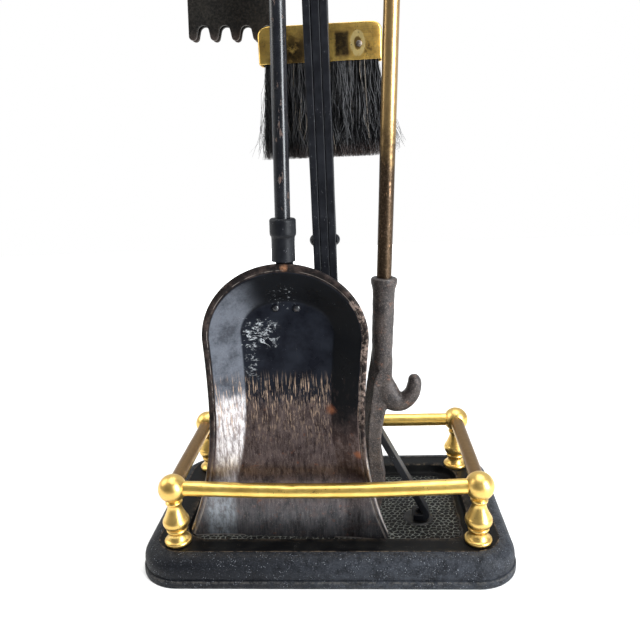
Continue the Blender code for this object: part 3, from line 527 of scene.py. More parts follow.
def make_pebble():
    """The pan's cast pattern: dark pits between dull greenish ridges, as wear says, with painted
    highlights on the ridges.
    """
    p = Paint("pebbled_iron", 0.5, Specular_IOR_Level=0.4)
    net = p.ramp(p.wear, 0.30, 0.90)
    p.tone = p.blend(net, (0.0012, 0.0012, 0.0015), (0.058, 0.062, 0.054))
    # Paler flecks on the ridges: painted highlights
    p.coat(p.times(net, p.ramp(p.noise(2.2, 5, 0.65), 0.44, 0.66)), (0.17, 0.175, 0.155))
    p.coat(p.ramp(p.noise(26, 4, 0.6, shift=(4, 4, 4)), 0.5, 0.75, 0, 0.6), (0.012, 0.011, 0.010))
    return p.done(p.ramp(p.noise(4, 4), 0.3, 0.7, 0.34, 0.55), (p.noise(1.2, 5, 0.7), 0.08))


def make_enamel(name, chips=0.5, axis=2, gloss=0.25, edge=0.5):
    """Black paint on iron, chipped to brown and worn pale along the edges."""
    p = Paint(name, gloss, Specular_IOR_Level=0.5 if gloss < 0.3 else 0.22)
    long = [1, 1, 1]
    long[axis] = 3.0
    cloud = p.noise(12, 5, 0.6)
    p.tone = p.blend(p.ramp(cloud, 0.35, 0.7), (0.004, 0.0044, 0.0065), (0.010, 0.011, 0.0145))
    chip = p.ramp(p.noise(3.2, 7, 0.72, tuple(long), (5, 1, 2)), 0.70 - 0.12 * chips, 0.73 - 0.12 * chips)
    p.coat(chip, p.blend(p.noise(1.5), (0.15, 0.08, 0.055), (0.06, 0.045, 0.04)))
    rub = p.times(p.wear, p.ramp(p.noise(4, 6, 0.7, tuple(long)), 0.40, 0.62))
    p.coat(p.times(rub, edge), (0.26, 0.26, 0.26))
    pale_specks = p.times(p.ramp(p.cells(1.9, shift=(1, 1, 1)), 0.1, 0.2, 1, 0), p.ramp(p.noise(9), 0.52, 0.6))
    p.coat(p.times(pale_specks, 0.4), (0.22, 0.22, 0.24))
    p.set("Metallic", p.times(rub, 0.3))
    return p.done(p.plus(p.ramp(cloud, 0.3, 0.7, gloss, gloss + 0.10), p.times(chip, 0.3)),
                  (p.noise(6, 3), 0.05), (p.noise(1.2, 4), 0.02), (p.rest(chip), 0.06))


def make_forged():
    """Bare iron, brown-grey and pitted, paler along its ridges."""
    p = Paint("pitted_iron", 0.5, 0.35)
    cloud = p.noise(11, 6, 0.65)
    p.tone = p.blend(p.ramp(cloud, 0.35, 0.68), (0.022, 0.018, 0.018), (0.060, 0.047, 0.042))
    fine = p.noise(1.1, 5, 0.75)
    p.coat(p.ramp(fine, 0.5, 0.70, 0, 0.75), (0.20, 0.165, 0.145))
    rust = p.times(p.ramp(p.noise(6, 6, 0.7, shift=(8, 3, 1)), 0.56, 0.68), p.ramp(fine, 0.4, 0.6))
    p.coat(p.times(rust, 0.75), (0.23, 0.10, 0.055))
    p.coat(p.times(p.ramp(p.cells(1.5), 0.12, 0.34, 1, 0), 0.75), (0.008, 0.007, 0.007))
    p.coat(p.times(p.wear, p.ramp(fine, 0.35, 0.6), 0.55), (0.34, 0.30, 0.27))
    return p.done(p.ramp(fine, 0.3, 0.7, 0.36, 0.6), (p.noise(4, 4, 0.6), 0.22), (fine, 0.22),
                  (p.cells(1.4), 0.16))


def make_blade():
    """The shovel's pan: blue-black paint above, scratched through to brown steel lower down."""
    p = Paint("worn_pan", 0.35, Specular_IOR_Level=0.05)
    x, z = p.flat()
    cloud = p.noise(15, 6, 0.6)
    fine = p.noise(1.6, 5, 0.75)
    grit = p.noise(1.3, 5, 0.8)
    long = p.noise(1.2, 4, 0.7, (1, 1, 11))
    longer = p.noise(2.2, 5, 0.7, (1, 1, 7), (4, 0, 2))
    patch = p.noise(9, 6, 0.65, (1, 1, 1.5), (7, 2, 1))
    sideways, backwards, upwards = p.facing()
    left = p.ramp(sideways, 0.14, 0.42)
    right = p.ramp(sideways, -0.14, -0.42)
    # Blue-black paint, darker on the right wall and the crown's wall as painted shade, and paler on the
    # left wall as a painted reflection of the light from the right
    paint = p.blend(p.ramp(cloud, 0.35, 0.68), (0.0065, 0.0072, 0.0105), (0.014, 0.0160, 0.022))
    # Painted shade: darker paint on the right wall and on the crown's wall
    crown_wall = p.ramp(upwards, -0.14, -0.42)
    paint = p.blend(p.times(p.most(right, crown_wall), 0.8), paint, (0.0025, 0.003, 0.004))
    paint = p.blend(p.ramp(long, 0.62, 0.8, 0, 0.35), paint, (0.045, 0.048, 0.055))
    # Painted reflection: paler blue-grey paint on the left wall, which faces the light from the right
    left_wall_reflection = p.times(left, p.ramp(p.plus(cloud, p.times(fine, 0.3)), 0.42, 0.75, 0.30, 0.85))
    paint = p.blend(left_wall_reflection, paint, p.blend(fine, (0.085, 0.094, 0.115), (0.165, 0.175, 0.20)))
    # Worn steel: brown in the middle, blue-grey towards the tip, and darker on the right wall as painted
    # shade
    brown = p.blend(p.ramp(patch, 0.30, 0.72), (0.060, 0.043, 0.042), (0.130, 0.098, 0.094))
    brown = p.blend(p.ramp(long, 0.42, 0.7, 0, 0.6), brown, (0.21, 0.160, 0.145))
    brown = p.blend(p.ramp(grit, 0.56, 0.70, 0, 0.7), brown, (0.38, 0.32, 0.30))
    brown = p.blend(p.ramp(p.noise(2.8, 7, 0.8, (1, 1, 4), (8, 8, 2)), 0.48, 0.62, 0, 0.8), brown,
                    (0.024, 0.017, 0.019))
    steel = p.blend(p.ramp(patch, 0.30, 0.70), (0.050, 0.054, 0.060), (0.110, 0.118, 0.128))
    steel = p.blend(p.ramp(long, 0.45, 0.7, 0, 0.5), steel, (0.18, 0.185, 0.20))
    steel = p.blend(p.ramp(grit, 0.55, 0.72, 0, 0.65), steel, (0.38, 0.34, 0.32))
    steel = p.blend(p.ramp(p.noise(7, 6, 0.7, shift=(2, 9, 4)), 0.52, 0.68, 0, 0.6), steel,
                    (0.13, 0.095, 0.088))
    low = p.ramp(p.plus(z, p.times(patch, 60)), -630, -585, 0.72, 0)
    bare = p.blend(low, brown, steel)
    # Painted shade: the bare steel is darker on the right wall
    bare = p.blend(p.times(right, p.ramp(p.noise(5, 8, 0.8, shift=(3, 1, 8)), 0.40, 0.58, 0.95, 0.35)),
                   bare, (0.040, 0.026, 0.024))
    # How far up the paint is gone, torn into vertical scratches
    torn = p.plus(z, p.plus(p.times(long, -26), p.times(longer, -44)))
    gone = p.ramp(torn, -607, -594, 1, 0)
    patchy = p.ramp(p.noise(4.5, 7, 0.75, (1, 1, 1.6), (1, 7, 3)), 0.54, 0.62)
    gone_right = p.most(p.ramp(p.plus(z, p.times(patch, -50)), -626, -590, 1, 0),
                        p.times(patchy, p.ramp(z, -575, -535, 0.5, 0.0)))
    gone = p.level(right, gone, gone_right)
    p.tone = p.blend(gone, paint, bare)
    # Bare steel on the left wall, painted pale there as a reflection of the light from the right
    edge = p.plus(z, p.plus(p.times(longer, -22), p.times(long, -16)))
    bright = p.times(left, p.ramp(edge, -583, -577, 1, 0), p.ramp(x, -56, -50, 0, 1))
    worn = p.ramp(p.noise(2.8, 7, 0.8, (1, 1, 2.6), (5, 5, 1)), 0.38, 0.58, 0.25, 1.0)
    bright = p.times(bright, worn, p.ramp(p.plus(z, p.times(patch, 30)), -640, -590, 0.50, 1))
    p.coat(bright, p.blend(p.ramp(long, 0.38, 0.64), (0.72, 0.70, 0.71), (0.26, 0.23, 0.23)))
    # Below the walls' end: a pale band on the left of the tip and a dark one on its right
    band = p.times(p.within(x, -66, -58, -45, -38), p.ramp(z, -655, -615, 1, 0), worn)
    p.coat(p.times(band, 0.8), p.blend(long, (0.22, 0.25, 0.29), (0.50, 0.54, 0.58)))
    band = p.times(p.within(x, 40, 46, 52, 58), p.ramp(z, -660, -600, 1, 0),
                   p.ramp(p.noise(4, 7, 0.8, (1, 1, 2)), 0.35, 0.55, 1.0, 0.5))
    p.coat(p.times(band, 0.9), (0.012, 0.009, 0.009))
    # Copper-coloured scratches across the edge of the paint
    zone = p.times(p.within(z, -608, -575, -557, -541), p.rest(right))
    thin = p.ramp(p.noise(0.9, 3, 0.6, (1, 1, 24), (3, 3, 3)), 0.55, 0.63)
    thick = p.ramp(p.noise(1.4, 6, 0.75, (1, 1, 10), (9, 3, 6)), 0.59, 0.66)
    scratch = p.times(zone, p.most(thin, thick), p.ramp(p.noise(8, 4, 0.6, shift=(6, 1, 1)), 0.34, 0.52))
    p.coat(p.times(scratch, 0.95), p.blend(fine, (0.30, 0.20, 0.13), (0.56, 0.41, 0.31)))
    # White scuffs on the upper left, with tails, and a few small ones
    u = p.plus(x, p.sway(p.noise(8, 4, 0.6, shift=(3, 3, 1)), 26))
    v = p.plus(z, p.sway(p.noise(8, 4, 0.6, shift=(8, 1, 2)), 26))
    body = p.times(p.within(u, -32, -29, -10, -5), p.within(v, -527, -523, -508, -504))
    tails = p.times(p.within(u, -31, -29, -23, -20), p.within(v, -548, -543, -528, -524), 0.8)
    curl = p.math("ABSOLUTE", p.math("SUBTRACT", p.noise(4.2, 3, 0.6, (2.0, 1, 0.9), (2, 2, 7), 0.7),
                                     0.5))
    rough_edge = p.ramp(p.noise(1.6, 5, 0.7, shift=(4, 4, 8)), 0.45, 0.55)
    squiggle = p.times(p.ramp(curl, 0.012, 0.040, 1, 0), p.plus(p.times(rough_edge, 0.8), 0.2))
    flake = p.ramp(p.noise(3.0, 6, 0.7, (2.2, 1, 0.9), (2, 2, 7), 0.8), 0.61, 0.65)
    scattered = p.ramp(p.noise(5.5, 3, 0.6, (1.3, 1, 1.3), (4, 7, 2)), 0.40, 0.54)
    scuff = p.times(p.most(body, tails), scattered, p.most(squiggle, flake), 0.85)
    small = p.times(p.ramp(p.noise(1.8, 9, 0.8, (1, 1, 2.4), (8, 1, 4), 1.0), 0.665, 0.69),
                    p.ramp(z, -570, -552), 0.6)
    crown = p.times(p.ramp(p.noise(2.0, 8, 0.75, shift=(3, 6, 1)), 0.58, 0.64),
                    p.spot(x, z, -2, -488, 9, 0.6), 0.4)
    scuffs = p.most(scuff, small, crown)
    p.coat(scuffs, (0.66, 0.69, 0.72))
    # Rust
    sx = p.plus(x, p.sway(p.noise(3, 5), 6))
    rust = p.most(p.spot(sx, z, 31, -572, 3.0, 0.7), p.times(p.spot(sx, z, 52, -602, 2.6, 0.7), 0.8),
                  p.times(p.ramp(p.noise(6, 5, 0.6, shift=(1, 5, 9)), 0.62, 0.72), gone, 0.45))
    p.coat(p.times(rust, p.ramp(fine, 0.3, 0.6, 0.5, 0.95)), (0.27, 0.10, 0.05))
    # The rolled rim: brown, worn to copper on the right, with a thin broken pale line along its crest and
    # the tip's edge: bare steel, painted brighter as an edge highlight
    flared = p.ramp(z, -640, -575, 1, 0)
    rim = p.times(p.ramp(p.wear, 0.03, 0.25), p.rest(p.times(flared, 0.85)))
    rolled = p.blend(p.ramp(p.noise(5, 5, 0.6), 0.42, 0.70), (0.012, 0.010, 0.010), (0.046, 0.033, 0.029))
    p.coat(rim, rolled)
    copper = p.times(p.ramp(p.noise(5, 6, 0.75, shift=(1, 1, 6)), 0.45, 0.58), p.ramp(x, 38, 50, 0.04, 1),
                     p.ramp(z, -590, -540, 0.35, 1), p.ramp(z, -490, -476, 1, 0.1))
    p.coat(p.times(rim, copper, 0.8), p.blend(fine, (0.24, 0.16, 0.125), (0.46, 0.36, 0.31)))
    # Pale crest and tip edge: bare steel and a painted edge highlight
    crest = p.times(p.ramp(p.wear, 0.86, 0.99), p.ramp(p.noise(9, 6, 0.65), 0.46, 0.58), 0.8)
    thin_edge = p.times(p.ramp(p.wear, 0.52, 0.62), p.ramp(z, -650, -600, 1, 0),
                        p.ramp(p.noise(6, 4), 0.3, 0.5, 0.4, 1))
    crest = p.most(crest, thin_edge)
    p.coat(p.times(crest, 0.7), p.blend(p.noise(4), (0.50, 0.46, 0.44), (0.30, 0.24, 0.20)))
    mark = p.times(p.spot(sx, z, 0.9, -464.2, 1.9, 0.9), p.ramp(fine, 0.35, 0.6, 0.3, 1))
    p.coat(mark, (0.36, 0.17, 0.09))
    # The back keeps its paint, apart from the tip
    back = p.times(p.ramp(backwards, 0.05, 0.30), p.rest(rim))
    plain = p.blend(p.ramp(cloud, 0.35, 0.68), (0.0045, 0.0050, 0.0068), (0.013, 0.0140, 0.0175))
    plain = p.blend(p.ramp(grit, 0.58, 0.72, 0, 0.5), plain, (0.055, 0.052, 0.050))
    behind = p.blend(p.ramp(p.plus(z, p.times(patch, 40)), -650, -610, 0.85, 0), plain, brown)
    p.coat(back, behind)
    metal = p.most(p.times(gone, 0.8), bright, p.times(crest, 0.8))
    p.set("Metallic", p.times(metal, p.rest(back)))
    rough = p.level(gone, p.ramp(cloud, 0.3, 0.7, 0.26, 0.36), p.ramp(fine, 0.3, 0.7, 0.30, 0.46))
    return p.done(p.most(p.level(bright, rough, 0.42), p.times(scuffs, 0.7)), (p.noise(26, 3), 0.5),
                  (long, 0.02), (fine, 0.03), (scuffs, 0.05), (p.rest(gone), 0.03))


def make_jaw():
    """The tongs' toothed plates: black, burnt brown at the tips."""
    p = Paint("scorched_plate", 0.5, 0.2, Specular_IOR_Level=0.35)
    cloud = p.noise(13, 6, 0.65)
    p.tone = p.blend(p.ramp(cloud, 0.35, 0.7), (0.0075, 0.007, 0.006), (0.017, 0.015, 0.012))
    fine = p.noise(1.3, 6, 0.7)
    p.coat(p.ramp(fine, 0.52, 0.75, 0, 0.4), (0.045, 0.038, 0.032))
    height = p.axis(2)
    tip = p.times(p.ramp(p.plus(height, p.times(cloud, 8)), 386, 394, 1, 0), 0.7)
    p.coat(tip, p.blend(fine, (0.035, 0.028, 0.025), (0.17, 0.125, 0.11)))
    p.coat(p.times(p.wear, p.ramp(fine, 0.4, 0.6), 0.4), (0.12, 0.10, 0.085))
    return p.done(p.ramp(fine, 0.3, 0.7, 0.42, 0.6), (p.noise(5, 4), 0.12), (fine, 0.06))


def make_steel():
    p = Paint("dull_steel", 0.45, 0.85)
    fine = p.noise(0.9, 5, 0.7)
    p.tone = p.blend(p.ramp(fine, 0.35, 0.7), (0.10, 0.085, 0.075), (0.27, 0.24, 0.21))
    p.coat(p.ramp(p.noise(2.6, 5), 0.5, 0.66, 0, 0.8), (0.16, 0.075, 0.04))
    return p.done(p.ramp(fine, 0.3, 0.7, 0.35, 0.6), (fine, 0.04))


def make_wood():
    p = Paint("beech_wood", 0.6)
    ring = p.noise(1.4, 4, 0.6, (14, 1, 1))
    p.tone = p.blend(p.ramp(ring, 0.3, 0.7), (0.36, 0.21, 0.11), (0.52, 0.34, 0.19))
    return p.done(None, (ring, 0.08))


def make_hair():
    """Bristle: black, with some strands brown or pale, as each strand's wear says."""
    p = Paint("bristle", 0.42, Specular_IOR_Level=0.3)
    dark = p.blend(p.ramp(p.wear, 0.35, 0.9), (0.001, 0.001, 0.0015), (0.13, 0.13, 0.135))
    low = p.times(p.ramp(p.plus(p.axis(2), p.times(p.noise(2.5, 4), 10)), 303, 314, 1, 0),
                  p.ramp(p.noise(1.2, 3), 0.45, 0.6), 0.7)
    p.tone = p.blend(low, dark, (0.12, 0.085, 0.075))
    p.coat(p.ramp(p.wear, 0.92, 0.97), (0.30, 0.25, 0.20))
    return p.done(p.ramp(p.noise(2, 3), 0.3, 0.7, 0.30, 0.45))


BRASS = make_brass("bright_brass", tarnish=0.15, dull=0.28)
BRASS_X = make_brass("streaked_brass", 0, 0.05)
BRASS_SIDE = make_brass("tarnished_brass", 1, 0.25, top=0.9, dull=0.35)
BRASS_ROD = make_brass("patinated_brass", 2, 0.1, soot=(285, 335), dull=0.85)
BRASS_CAP = make_brass("mottled_brass", 0, 0.25, cap=True)
IRON, RIM, PEBBLE = make_iron(), make_rim(), make_pebble()
ENAMEL_ROD = make_enamel("chipped_gloss_black", 0.8, 2, 0.20, 0.3)
ENAMEL = make_enamel("satin_black", 0.10, 2, 0.42, 0.05)
FORGED, BLADE, JAW, STEEL, WOOD, HAIR = (make_forged(), make_blade(), make_jaw(), make_steel(),
                                         make_wood(), make_hair())


# ------------------------------------------------------------------ tray
def rounded(hx, hy, corner, z, cy=0.0):
    """A rounded rectangle with the same number of points whatever its size; cy is its middle."""
    ring = []
    for sx, sy, start in QUARTERS:
        ring += arc((sx * (hx - corner), sy * (hy - corner)), corner, start, start + 90, 12)
        x0, y0 = ring[-1]
        if start in (0, 180):
            ring += [(mix(x0, -x0, k / 34), y0) for k in range(1, 34)]
        else:
            ring += [(x0, mix(y0, -y0, k / 18)) for k in range(1, 18)]
    return [Vector((x, y + cy, z)) for x, y in ring]


def build_tray():
    """The cast tray in two skins: the edge with its slope, and the rim with the pan's wall."""
    hx, hy, corner = 140.0, 82.85, 31.5

    def ring(inset, z):
        return rounded(hx - inset, hy - inset, corner - inset * 0.9, z)

    profile = [(6.2, 9.0, 0), (6.0, 6.0, 0), (6.0, 0.8, 0), (5.6, 0.1, 0), (5.0, 0.0, 0), (0.7, 0.0, 0),
               (0.15, 0.25, 0.2), (0.0, 0.8, 0.3), (0.0, 2.8, 0), (0.0, 4.6, 0.3), (0.2, 5.3, 0.7),
               (0.7, 5.7, 0.5), (1.35, 5.75, 0), (1.75, 6.05, 0), (1.75, 6.5, 0), (1.4, 7.0, 0.1),
               (1.25, 8.0, 0), (1.2, 9.6, 0)]
    for k in range(13):
        a = radians(180 - 90 * k / 12)
        profile.append((12.2 + 11 * cos(a), 11.3 + 11 * sin(a), 0.15 if k > 8 else 0))
    outer = Shape()
    outer.loft([ring(i, z) for i, z, _ in profile], [w for _, _, w in profile], (True, False))
    outer.make("tray_edge", "stand", IRON, "cast_iron_black", ["tray_casting"], wobble=0.06, grain=9)

    px, py, pc, cy = 109.0, 55.0, 20.0, 1.0  # the pan's opening and its middle
    rings = [ring(12.2, 22.3), ring(12.5, 22.42), ring(13.0, 22.38), ring(13.5, 22.2)]
    edge = (hx - 13.5, hy - 13.5, corner - 12.15)
    for k in (0.25, 0.5, 0.75):
        rings.append(rounded(mix(edge[0], px + 1.4, k), mix(edge[1], py + 1.4, k),
                             mix(edge[2], pc + 1.4, k), 22.2, cy * k))
    for k in range(6):
        a = radians(90 - 18 * k)
        out = 1.4 - 1.4 * cos(a)
        rings.append(rounded(px + out, py + out, pc + out, 20.8 + 1.4 * sin(a), cy))
    rings.append(rounded(px - 0.3, py - 0.3, pc, 17.0, cy))
    for k in range(5):
        a = radians(180 + 22.5 * k)
        out = -2.3 - 1.8 * cos(a)
        rings.append(rounded(px + out, py + out, pc, 15.9 + 1.8 * sin(a), cy))
    rings.append(rounded(px - 5.0, py - 5.0, pc - 2, 14.0, cy))
    wear = [0.5, 1.0, 0.6, 0.0] + [0.0] * 3 + [0.3, 0.6, 0.9, 0.6, 0.3, 0.0] + [0.0] * 7
    rim = Shape()
    rim.loft(rings, wear, (False, True))
    rim.make("tray_rim", "stand", RIM, "cast_iron_black", wobble=0.07, grain=12)


FEET = {"left": (-65.8, 0.0), "right": (65.8, 0.0), "front": (0.0, -14.8), "rear": (0.0, 36.8)}


def build_pan_floor():
    """The pan's pebbled floor: a net of ridges round pits, smooth at the border and on the pads."""
    step, pitch, floor = 0.62, 3.9, 14.02
    hx, hy, corner, cy = 104.8, 50.8, 17.0, 1.0
    rows = int(2 * hy / (pitch * 0.90)) + 6
    columns = int(2 * hx / (pitch * 1.08)) + 6
    tree = kdtree.KDTree(rows * columns)
    for j in range(rows):
        for i in range(columns):
            u = -hx - 6 + (i + 0.5 * (j % 2)) * pitch * 1.08 + random.uniform(-1, 1) * pitch * 0.36
            v = -hy - 6 + j * pitch * 0.90 + random.uniform(-1, 1) * pitch * 0.30
            tree.insert((u, v, 0), j * columns + i)
    tree.balance()
    nx, ny = int(2 * hx / step), int(2 * hy / step)
    shape, ids = Shape(), {}
    for j in range(ny + 1):
        for i in range(nx + 1):
            u, v = -hx + 2 * hx * i / nx, -hy + 2 * hy * j / ny
            du, dv = abs(u) - (hx - corner), abs(v) - (hy - corner)
            if du > 0 and dv > 0:
                inside = corner - sqrt(du * du + dv * dv)
            else:
                inside = min(hx - abs(u), hy - abs(v))
            if inside < -0.01:
                continue
            near = tree.find_n((u, v, 0), 2)
            gap = near[1][2] - near[0][2]
            ridge = 1 - smooth_step(gap / 1.9)
            fade = smooth_step((inside - 1.0) / 4.0)
            x, y = u, v + cy
            foot = min(sqrt((x - POST.x - dx) ** 2 + (y - POST.y - dy) ** 2)
                       for dx, dy in FEET.values())
            fade *= smooth_step((foot - 10.5) / 2.5)
            pad = smooth_step((12.2 - foot) / 1.8)
            drift = noise.noise(Vector((x, y, 3)) / 16) * 0.12
            z = floor + fade * (1.2 * ridge - 0.9 + drift) + pad * 0.98
            ids[i, j] = shape.add((x, y, z), fade * (0.15 + 0.85 * ridge) + (1 - fade) * 0.12)
    for (i, j), a in ids.items():
        b, c, d = ids.get((i + 1, j)), ids.get((i + 1, j + 1)), ids.get((i, j + 1))
        if b is not None and c is not None and d is not None:
            shape.faces.append((a, b, c, d))
    shape.make("tray_pan_floor", "stand", PEBBLE, "cast_iron_black", angle=180)


# ------------------------------------------------------------------ gallery
BALUSTER = [
    (9.0, 22.45), (9.7, 22.9), (10.0, 23.8), (9.95, 24.8), (9.5, 25.6), (8.7, 26.1), (8.2, 26.5),
    (7.5, 27.4), (6.8, 28.6), (6.4, 30.0), (6.45, 31.2), (6.9, 32.1), (7.5, 32.7), (7.75, 33.4),
    (7.5, 34.2), (7.25, 34.6), (7.7, 35.2), (8.6, 36.4), (9.4, 38.0), (9.8, 39.6), (9.8, 41.0),
    (9.4, 42.4), (9.0, 43.0), (8.8, 43.3), (8.0, 45.0), (6.9, 47.4), (5.9, 49.8), (5.3, 51.8),
    (5.15, 53.2), (5.35, 54.4), (5.9, 55.2), (6.2, 55.9), (6.15, 56.7), (5.6, 57.3), (4.6, 58.2),
]


def build_gallery():
    """Turned uprights with dented balls, two solid rails and two of folded sheet."""
    for name, (x, y) in CORNERS.items():
        place = Matrix.Translation(Vector((x, y, 0)))
        post = Shape()
        profile = [(p.x, p.y) for p in spline(BALUSTER, 3)]
        post.lathe([(2.4, 2.0), (2.4, 22.4)], 20, None, place)
        post.lathe(profile, 56, None, place)
        post.cover("baluster_" + name, "stand", BRASS, "polished_brass", wobble=0.05, grain=5)
        ball = Shape()
        rings = [(BALL_RADIUS * sin(radians(a)), RAIL_HEIGHT - BALL_RADIUS * cos(radians(a)))
                 for a in [1.5] + list(range(6, 175, 6)) + [178.5]]
        ball.lathe(rings, 60, None, place)
        for i, v in enumerate(ball.verts):
            dent = noise.noise((v + Vector((x, y, 0))) / 7) * 0.10
            dent -= 0.25 * max(0.0, noise.noise(v / 3.1 + Vector((5, 1, 2))) - 0.42)
            away = (v - Vector((x, y, RAIL_HEIGHT))).normalized()
            ball.verts[i] = v + away * min(dent, 0.0)
        ball.cover("ball_" + name, "stand", BRASS, "polished_brass", angle=70)

    ends = 106.4
    for name, y, sag in (("front", FRONT, 3.0), ("rear", REAR, 0.0)):
        line = []
        for i in range(121):
            x = -ends + 2 * ends * i / 120
            line.append((x, y, RAIL_HEIGHT - sag * cos(x / 105.6 * pi / 2)))

        def dented(a, t, point, sag=sag):
            value = 1 + noise.noise(Vector((point.x / 13, a * 0.6, y))) * 0.022
            if sag:
                for where, angle, deep in ((-58, 5.6, 0.09), (-24, 0.2, 0.07), (47, 5.2, 0.06)):
                    off = (point.x - where) / 4.5
                    value -= deep * max(0.0, cos(a - angle)) ** 4 * 2.7 ** (-off * off)
            return value

        rail = Shape()
        rail.tube(line, RAIL_RADIUS, 32, dented, up=(0, 0, 1))
        rail.cover("rail_" + name, "stand", BRASS_X, "polished_brass", 60)
    for name, x, inner in (("left", -SIDE, 1), ("right", SIDE, -1)):
        line = [(x, mix(-53.3, 49.6, i / 60), RAIL_HEIGHT) for i in range(61)]

        def seamed(a, t, point, inner=inner):
            """Folded brass sheet: a narrow open seam runs along the rail's inner side."""
            where = pi / 2 * (1 if inner > 0 else 3) + inner * radians(24)
            off = (a - where) / radians(7)
            return 1 - 0.10 * 2.7 ** (-off * off) + noise.noise(Vector((a, point.y / 15, 0))) * 0.012

        rail = Shape()
        rail.tube(line, RAIL_RADIUS, 60, seamed, up=(0, 0, 1))
        rail.cover("rail_" + name, "stand", BRASS_SIDE, "polished_brass", 60)


# ------------------------------------------------------------------ stand
def bar_path(start, reach, thick):
    """Middle line of a bar: down the post, out from the splay and into its short foot."""
    splay, bottom = 150.0, 15.3 + thick / 2
    leg = Vector((reach - start, bottom - splay)).normalized()
    bend = spline([(start, splay + 16), (start, splay + 7), (start + leg.x * 3.2, splay + leg.y * 2.0),
                   (start + leg.x * 12, splay + leg.y * 12)], 4)
    heel = spline([(reach - leg.x * 9, bottom - leg.y * 9), (reach - leg.x * 3.2, bottom - leg.y * 3.2),
                   (reach - 2.4, bottom + 0.1), (reach - 6.0, bottom)], 4)
    top = [(start, mix(683.4, splay + 16, i / 50)) for i in range(50)]
    middle = [(mix(bend[-1].x, heel[0].x, i / 12), mix(bend[-1].y, heel[0].y, i / 12))
              for i in range(1, 12)]
    return top + [tuple(p) for p in bend] + middle + [tuple(p) for p in heel] + [(reach - 11.5, bottom)]


BARS = {  # name: (direction, distance from the axis, foot's reach, thickness, depth, edge, wobble)
    "left": ((-1, 0), 5.6, 73.0, 5.0, 14.0, 0.5, 0.16),
    "right": ((1, 0), 5.6, 73.0, 5.0, 14.0, 0.5, 0.16),
    "front": ((0, -1), 4.6, 22.0, 4.4, 5.6, 0.45, 0.12),
    "rear": ((0, 1), 4.6, 44.0, 4.4, 5.6, 0.45, 0.12),
}


def build_stand():
    for name, ((dx, dy), start, reach, thick, deep, edge, wobble) in BARS.items():
        path = [(POST.x + dx * u, POST.y + dy * u, v) for u, v in bar_path(start, reach, thick)]
        bar = Shape()
        bar.strap(path, thick, deep, (abs(dy), abs(dx), 0), edge)
        bar.cover("bar_" + name, "stand", ENAMEL, "black_enamel", wobble=wobble, grain=26)
    for name, height in (("lower", 240.0), ("upper", 560.0)):
        profile = arc((0, 6.4), 4.4, 88, 32, 8) + [(3.7, 8.35), (2.1, 8.3)]
        profile += [(r, -z) for r, z in reversed(profile)]
        turn = Matrix.Translation(Vector((POST.x, POST.y, height))) @ Matrix.Rotation(pi / 2, 4, "Y")
        turned("post_rivet_" + name, "stand", ENAMEL, "black_enamel", profile, 28, turn,
               [0.7] + [0.2] * (len(profile) - 2) + [0.7])
    for name, (dx, dy) in FEET.items():
        top = 15.3 + BARS[name][3] + 0.3
        profile = [(1.6, 5.0), (1.6, top), (2.3, top), (2.2, top + 0.7), (1.8, top + 1.3),
                   (1.1, top + 1.6), (0.3, top + 1.7)]
        turned("foot_screw_" + name, "stand", ENAMEL, "rivet_steel", profile, 24,
               Matrix.Translation(Vector((POST.x + dx, POST.y + dy, 0))))


def build_head():
    """The hub on top of the post, the finial and the four arms."""
    place = Matrix.Translation(Vector((POST.x, POST.y, 0)))
    profile = spline([(0.4, 668.0), (11.4, 668.0), (12.2, 668.6), (13.0, 670.2), (13.0, 676.0),
                      (13.0, 680.0), (12.5, 683.0), (11.6, 685.0), (11.3, 687.6), (11.3, 693.0),
                      (11.3, 697.6), (11.1, 700.4), (10.2, 703.2), (8.6, 704.8), (5.0, 705.9),
                      (0.4, 706.0)], 3)
    turned("hub", "stand", BRASS, "polished_brass", [(abs(p.x), p.y) for p in profile], 56, place)
    foot = 706.3
    outline = [(7.0, foot), (7.4, foot + 0.7), (6.6, foot + 2.6), (5.5, foot + 4.6), (6.6, foot + 6.8),
               (7.9, foot + 9.2), (8.6, foot + 13.0), (7.6, foot + 16.6), (5.6, foot + 19.6),
               (4.6, foot + 22.6), (4.3, foot + 25.8), (4.9, foot + 27.6)]
    outline += [(r, z) for r, z in arc((0, foot + 40), 11.5, -60, 62, 16)]
    outline += [(4.3, foot + 50.8), (2.4, foot + 52.2), (2.5, foot + 54.4), (1.7, foot + 56.8),
                (0.3, foot + 58.0)]
    turned("finial", "stand", BRASS, "polished_brass",
           [(abs(p.x), p.y) for p in spline(outline, 2)], 56, place, angle=55)
    for name, (direction, reach) in ARMS.items():
        line = [(7.0, 692.0)]
        for i in range(13):
            t = i / 12
            line.append((12.2 + (reach - 16.6) * t, ARM_LEVEL + 2 * (1 - smooth_step(t))))
        line += arc((reach + 1, ARM_LEVEL + 14), 14, -90, -8, 16)
        line.append((line[-1][0] + 0.6, line[-1][1] + 3.2))
        path = [(POST.x + s * direction[0], POST.y + s * direction[1], z) for s, z in line]
        radii = [3.5] * (len(path) - 3) + [3.45, 3.2, 2.4]
        arm = Shape()
        arm.tube(path, radii, 24, up=(0, 0, 1), wear=lambda t: 0.6 if t > 0.9 else 0.1)
        arm.cover("arm_" + name, "stand", ENAMEL, "black_enamel", 60, wobble=0.06)


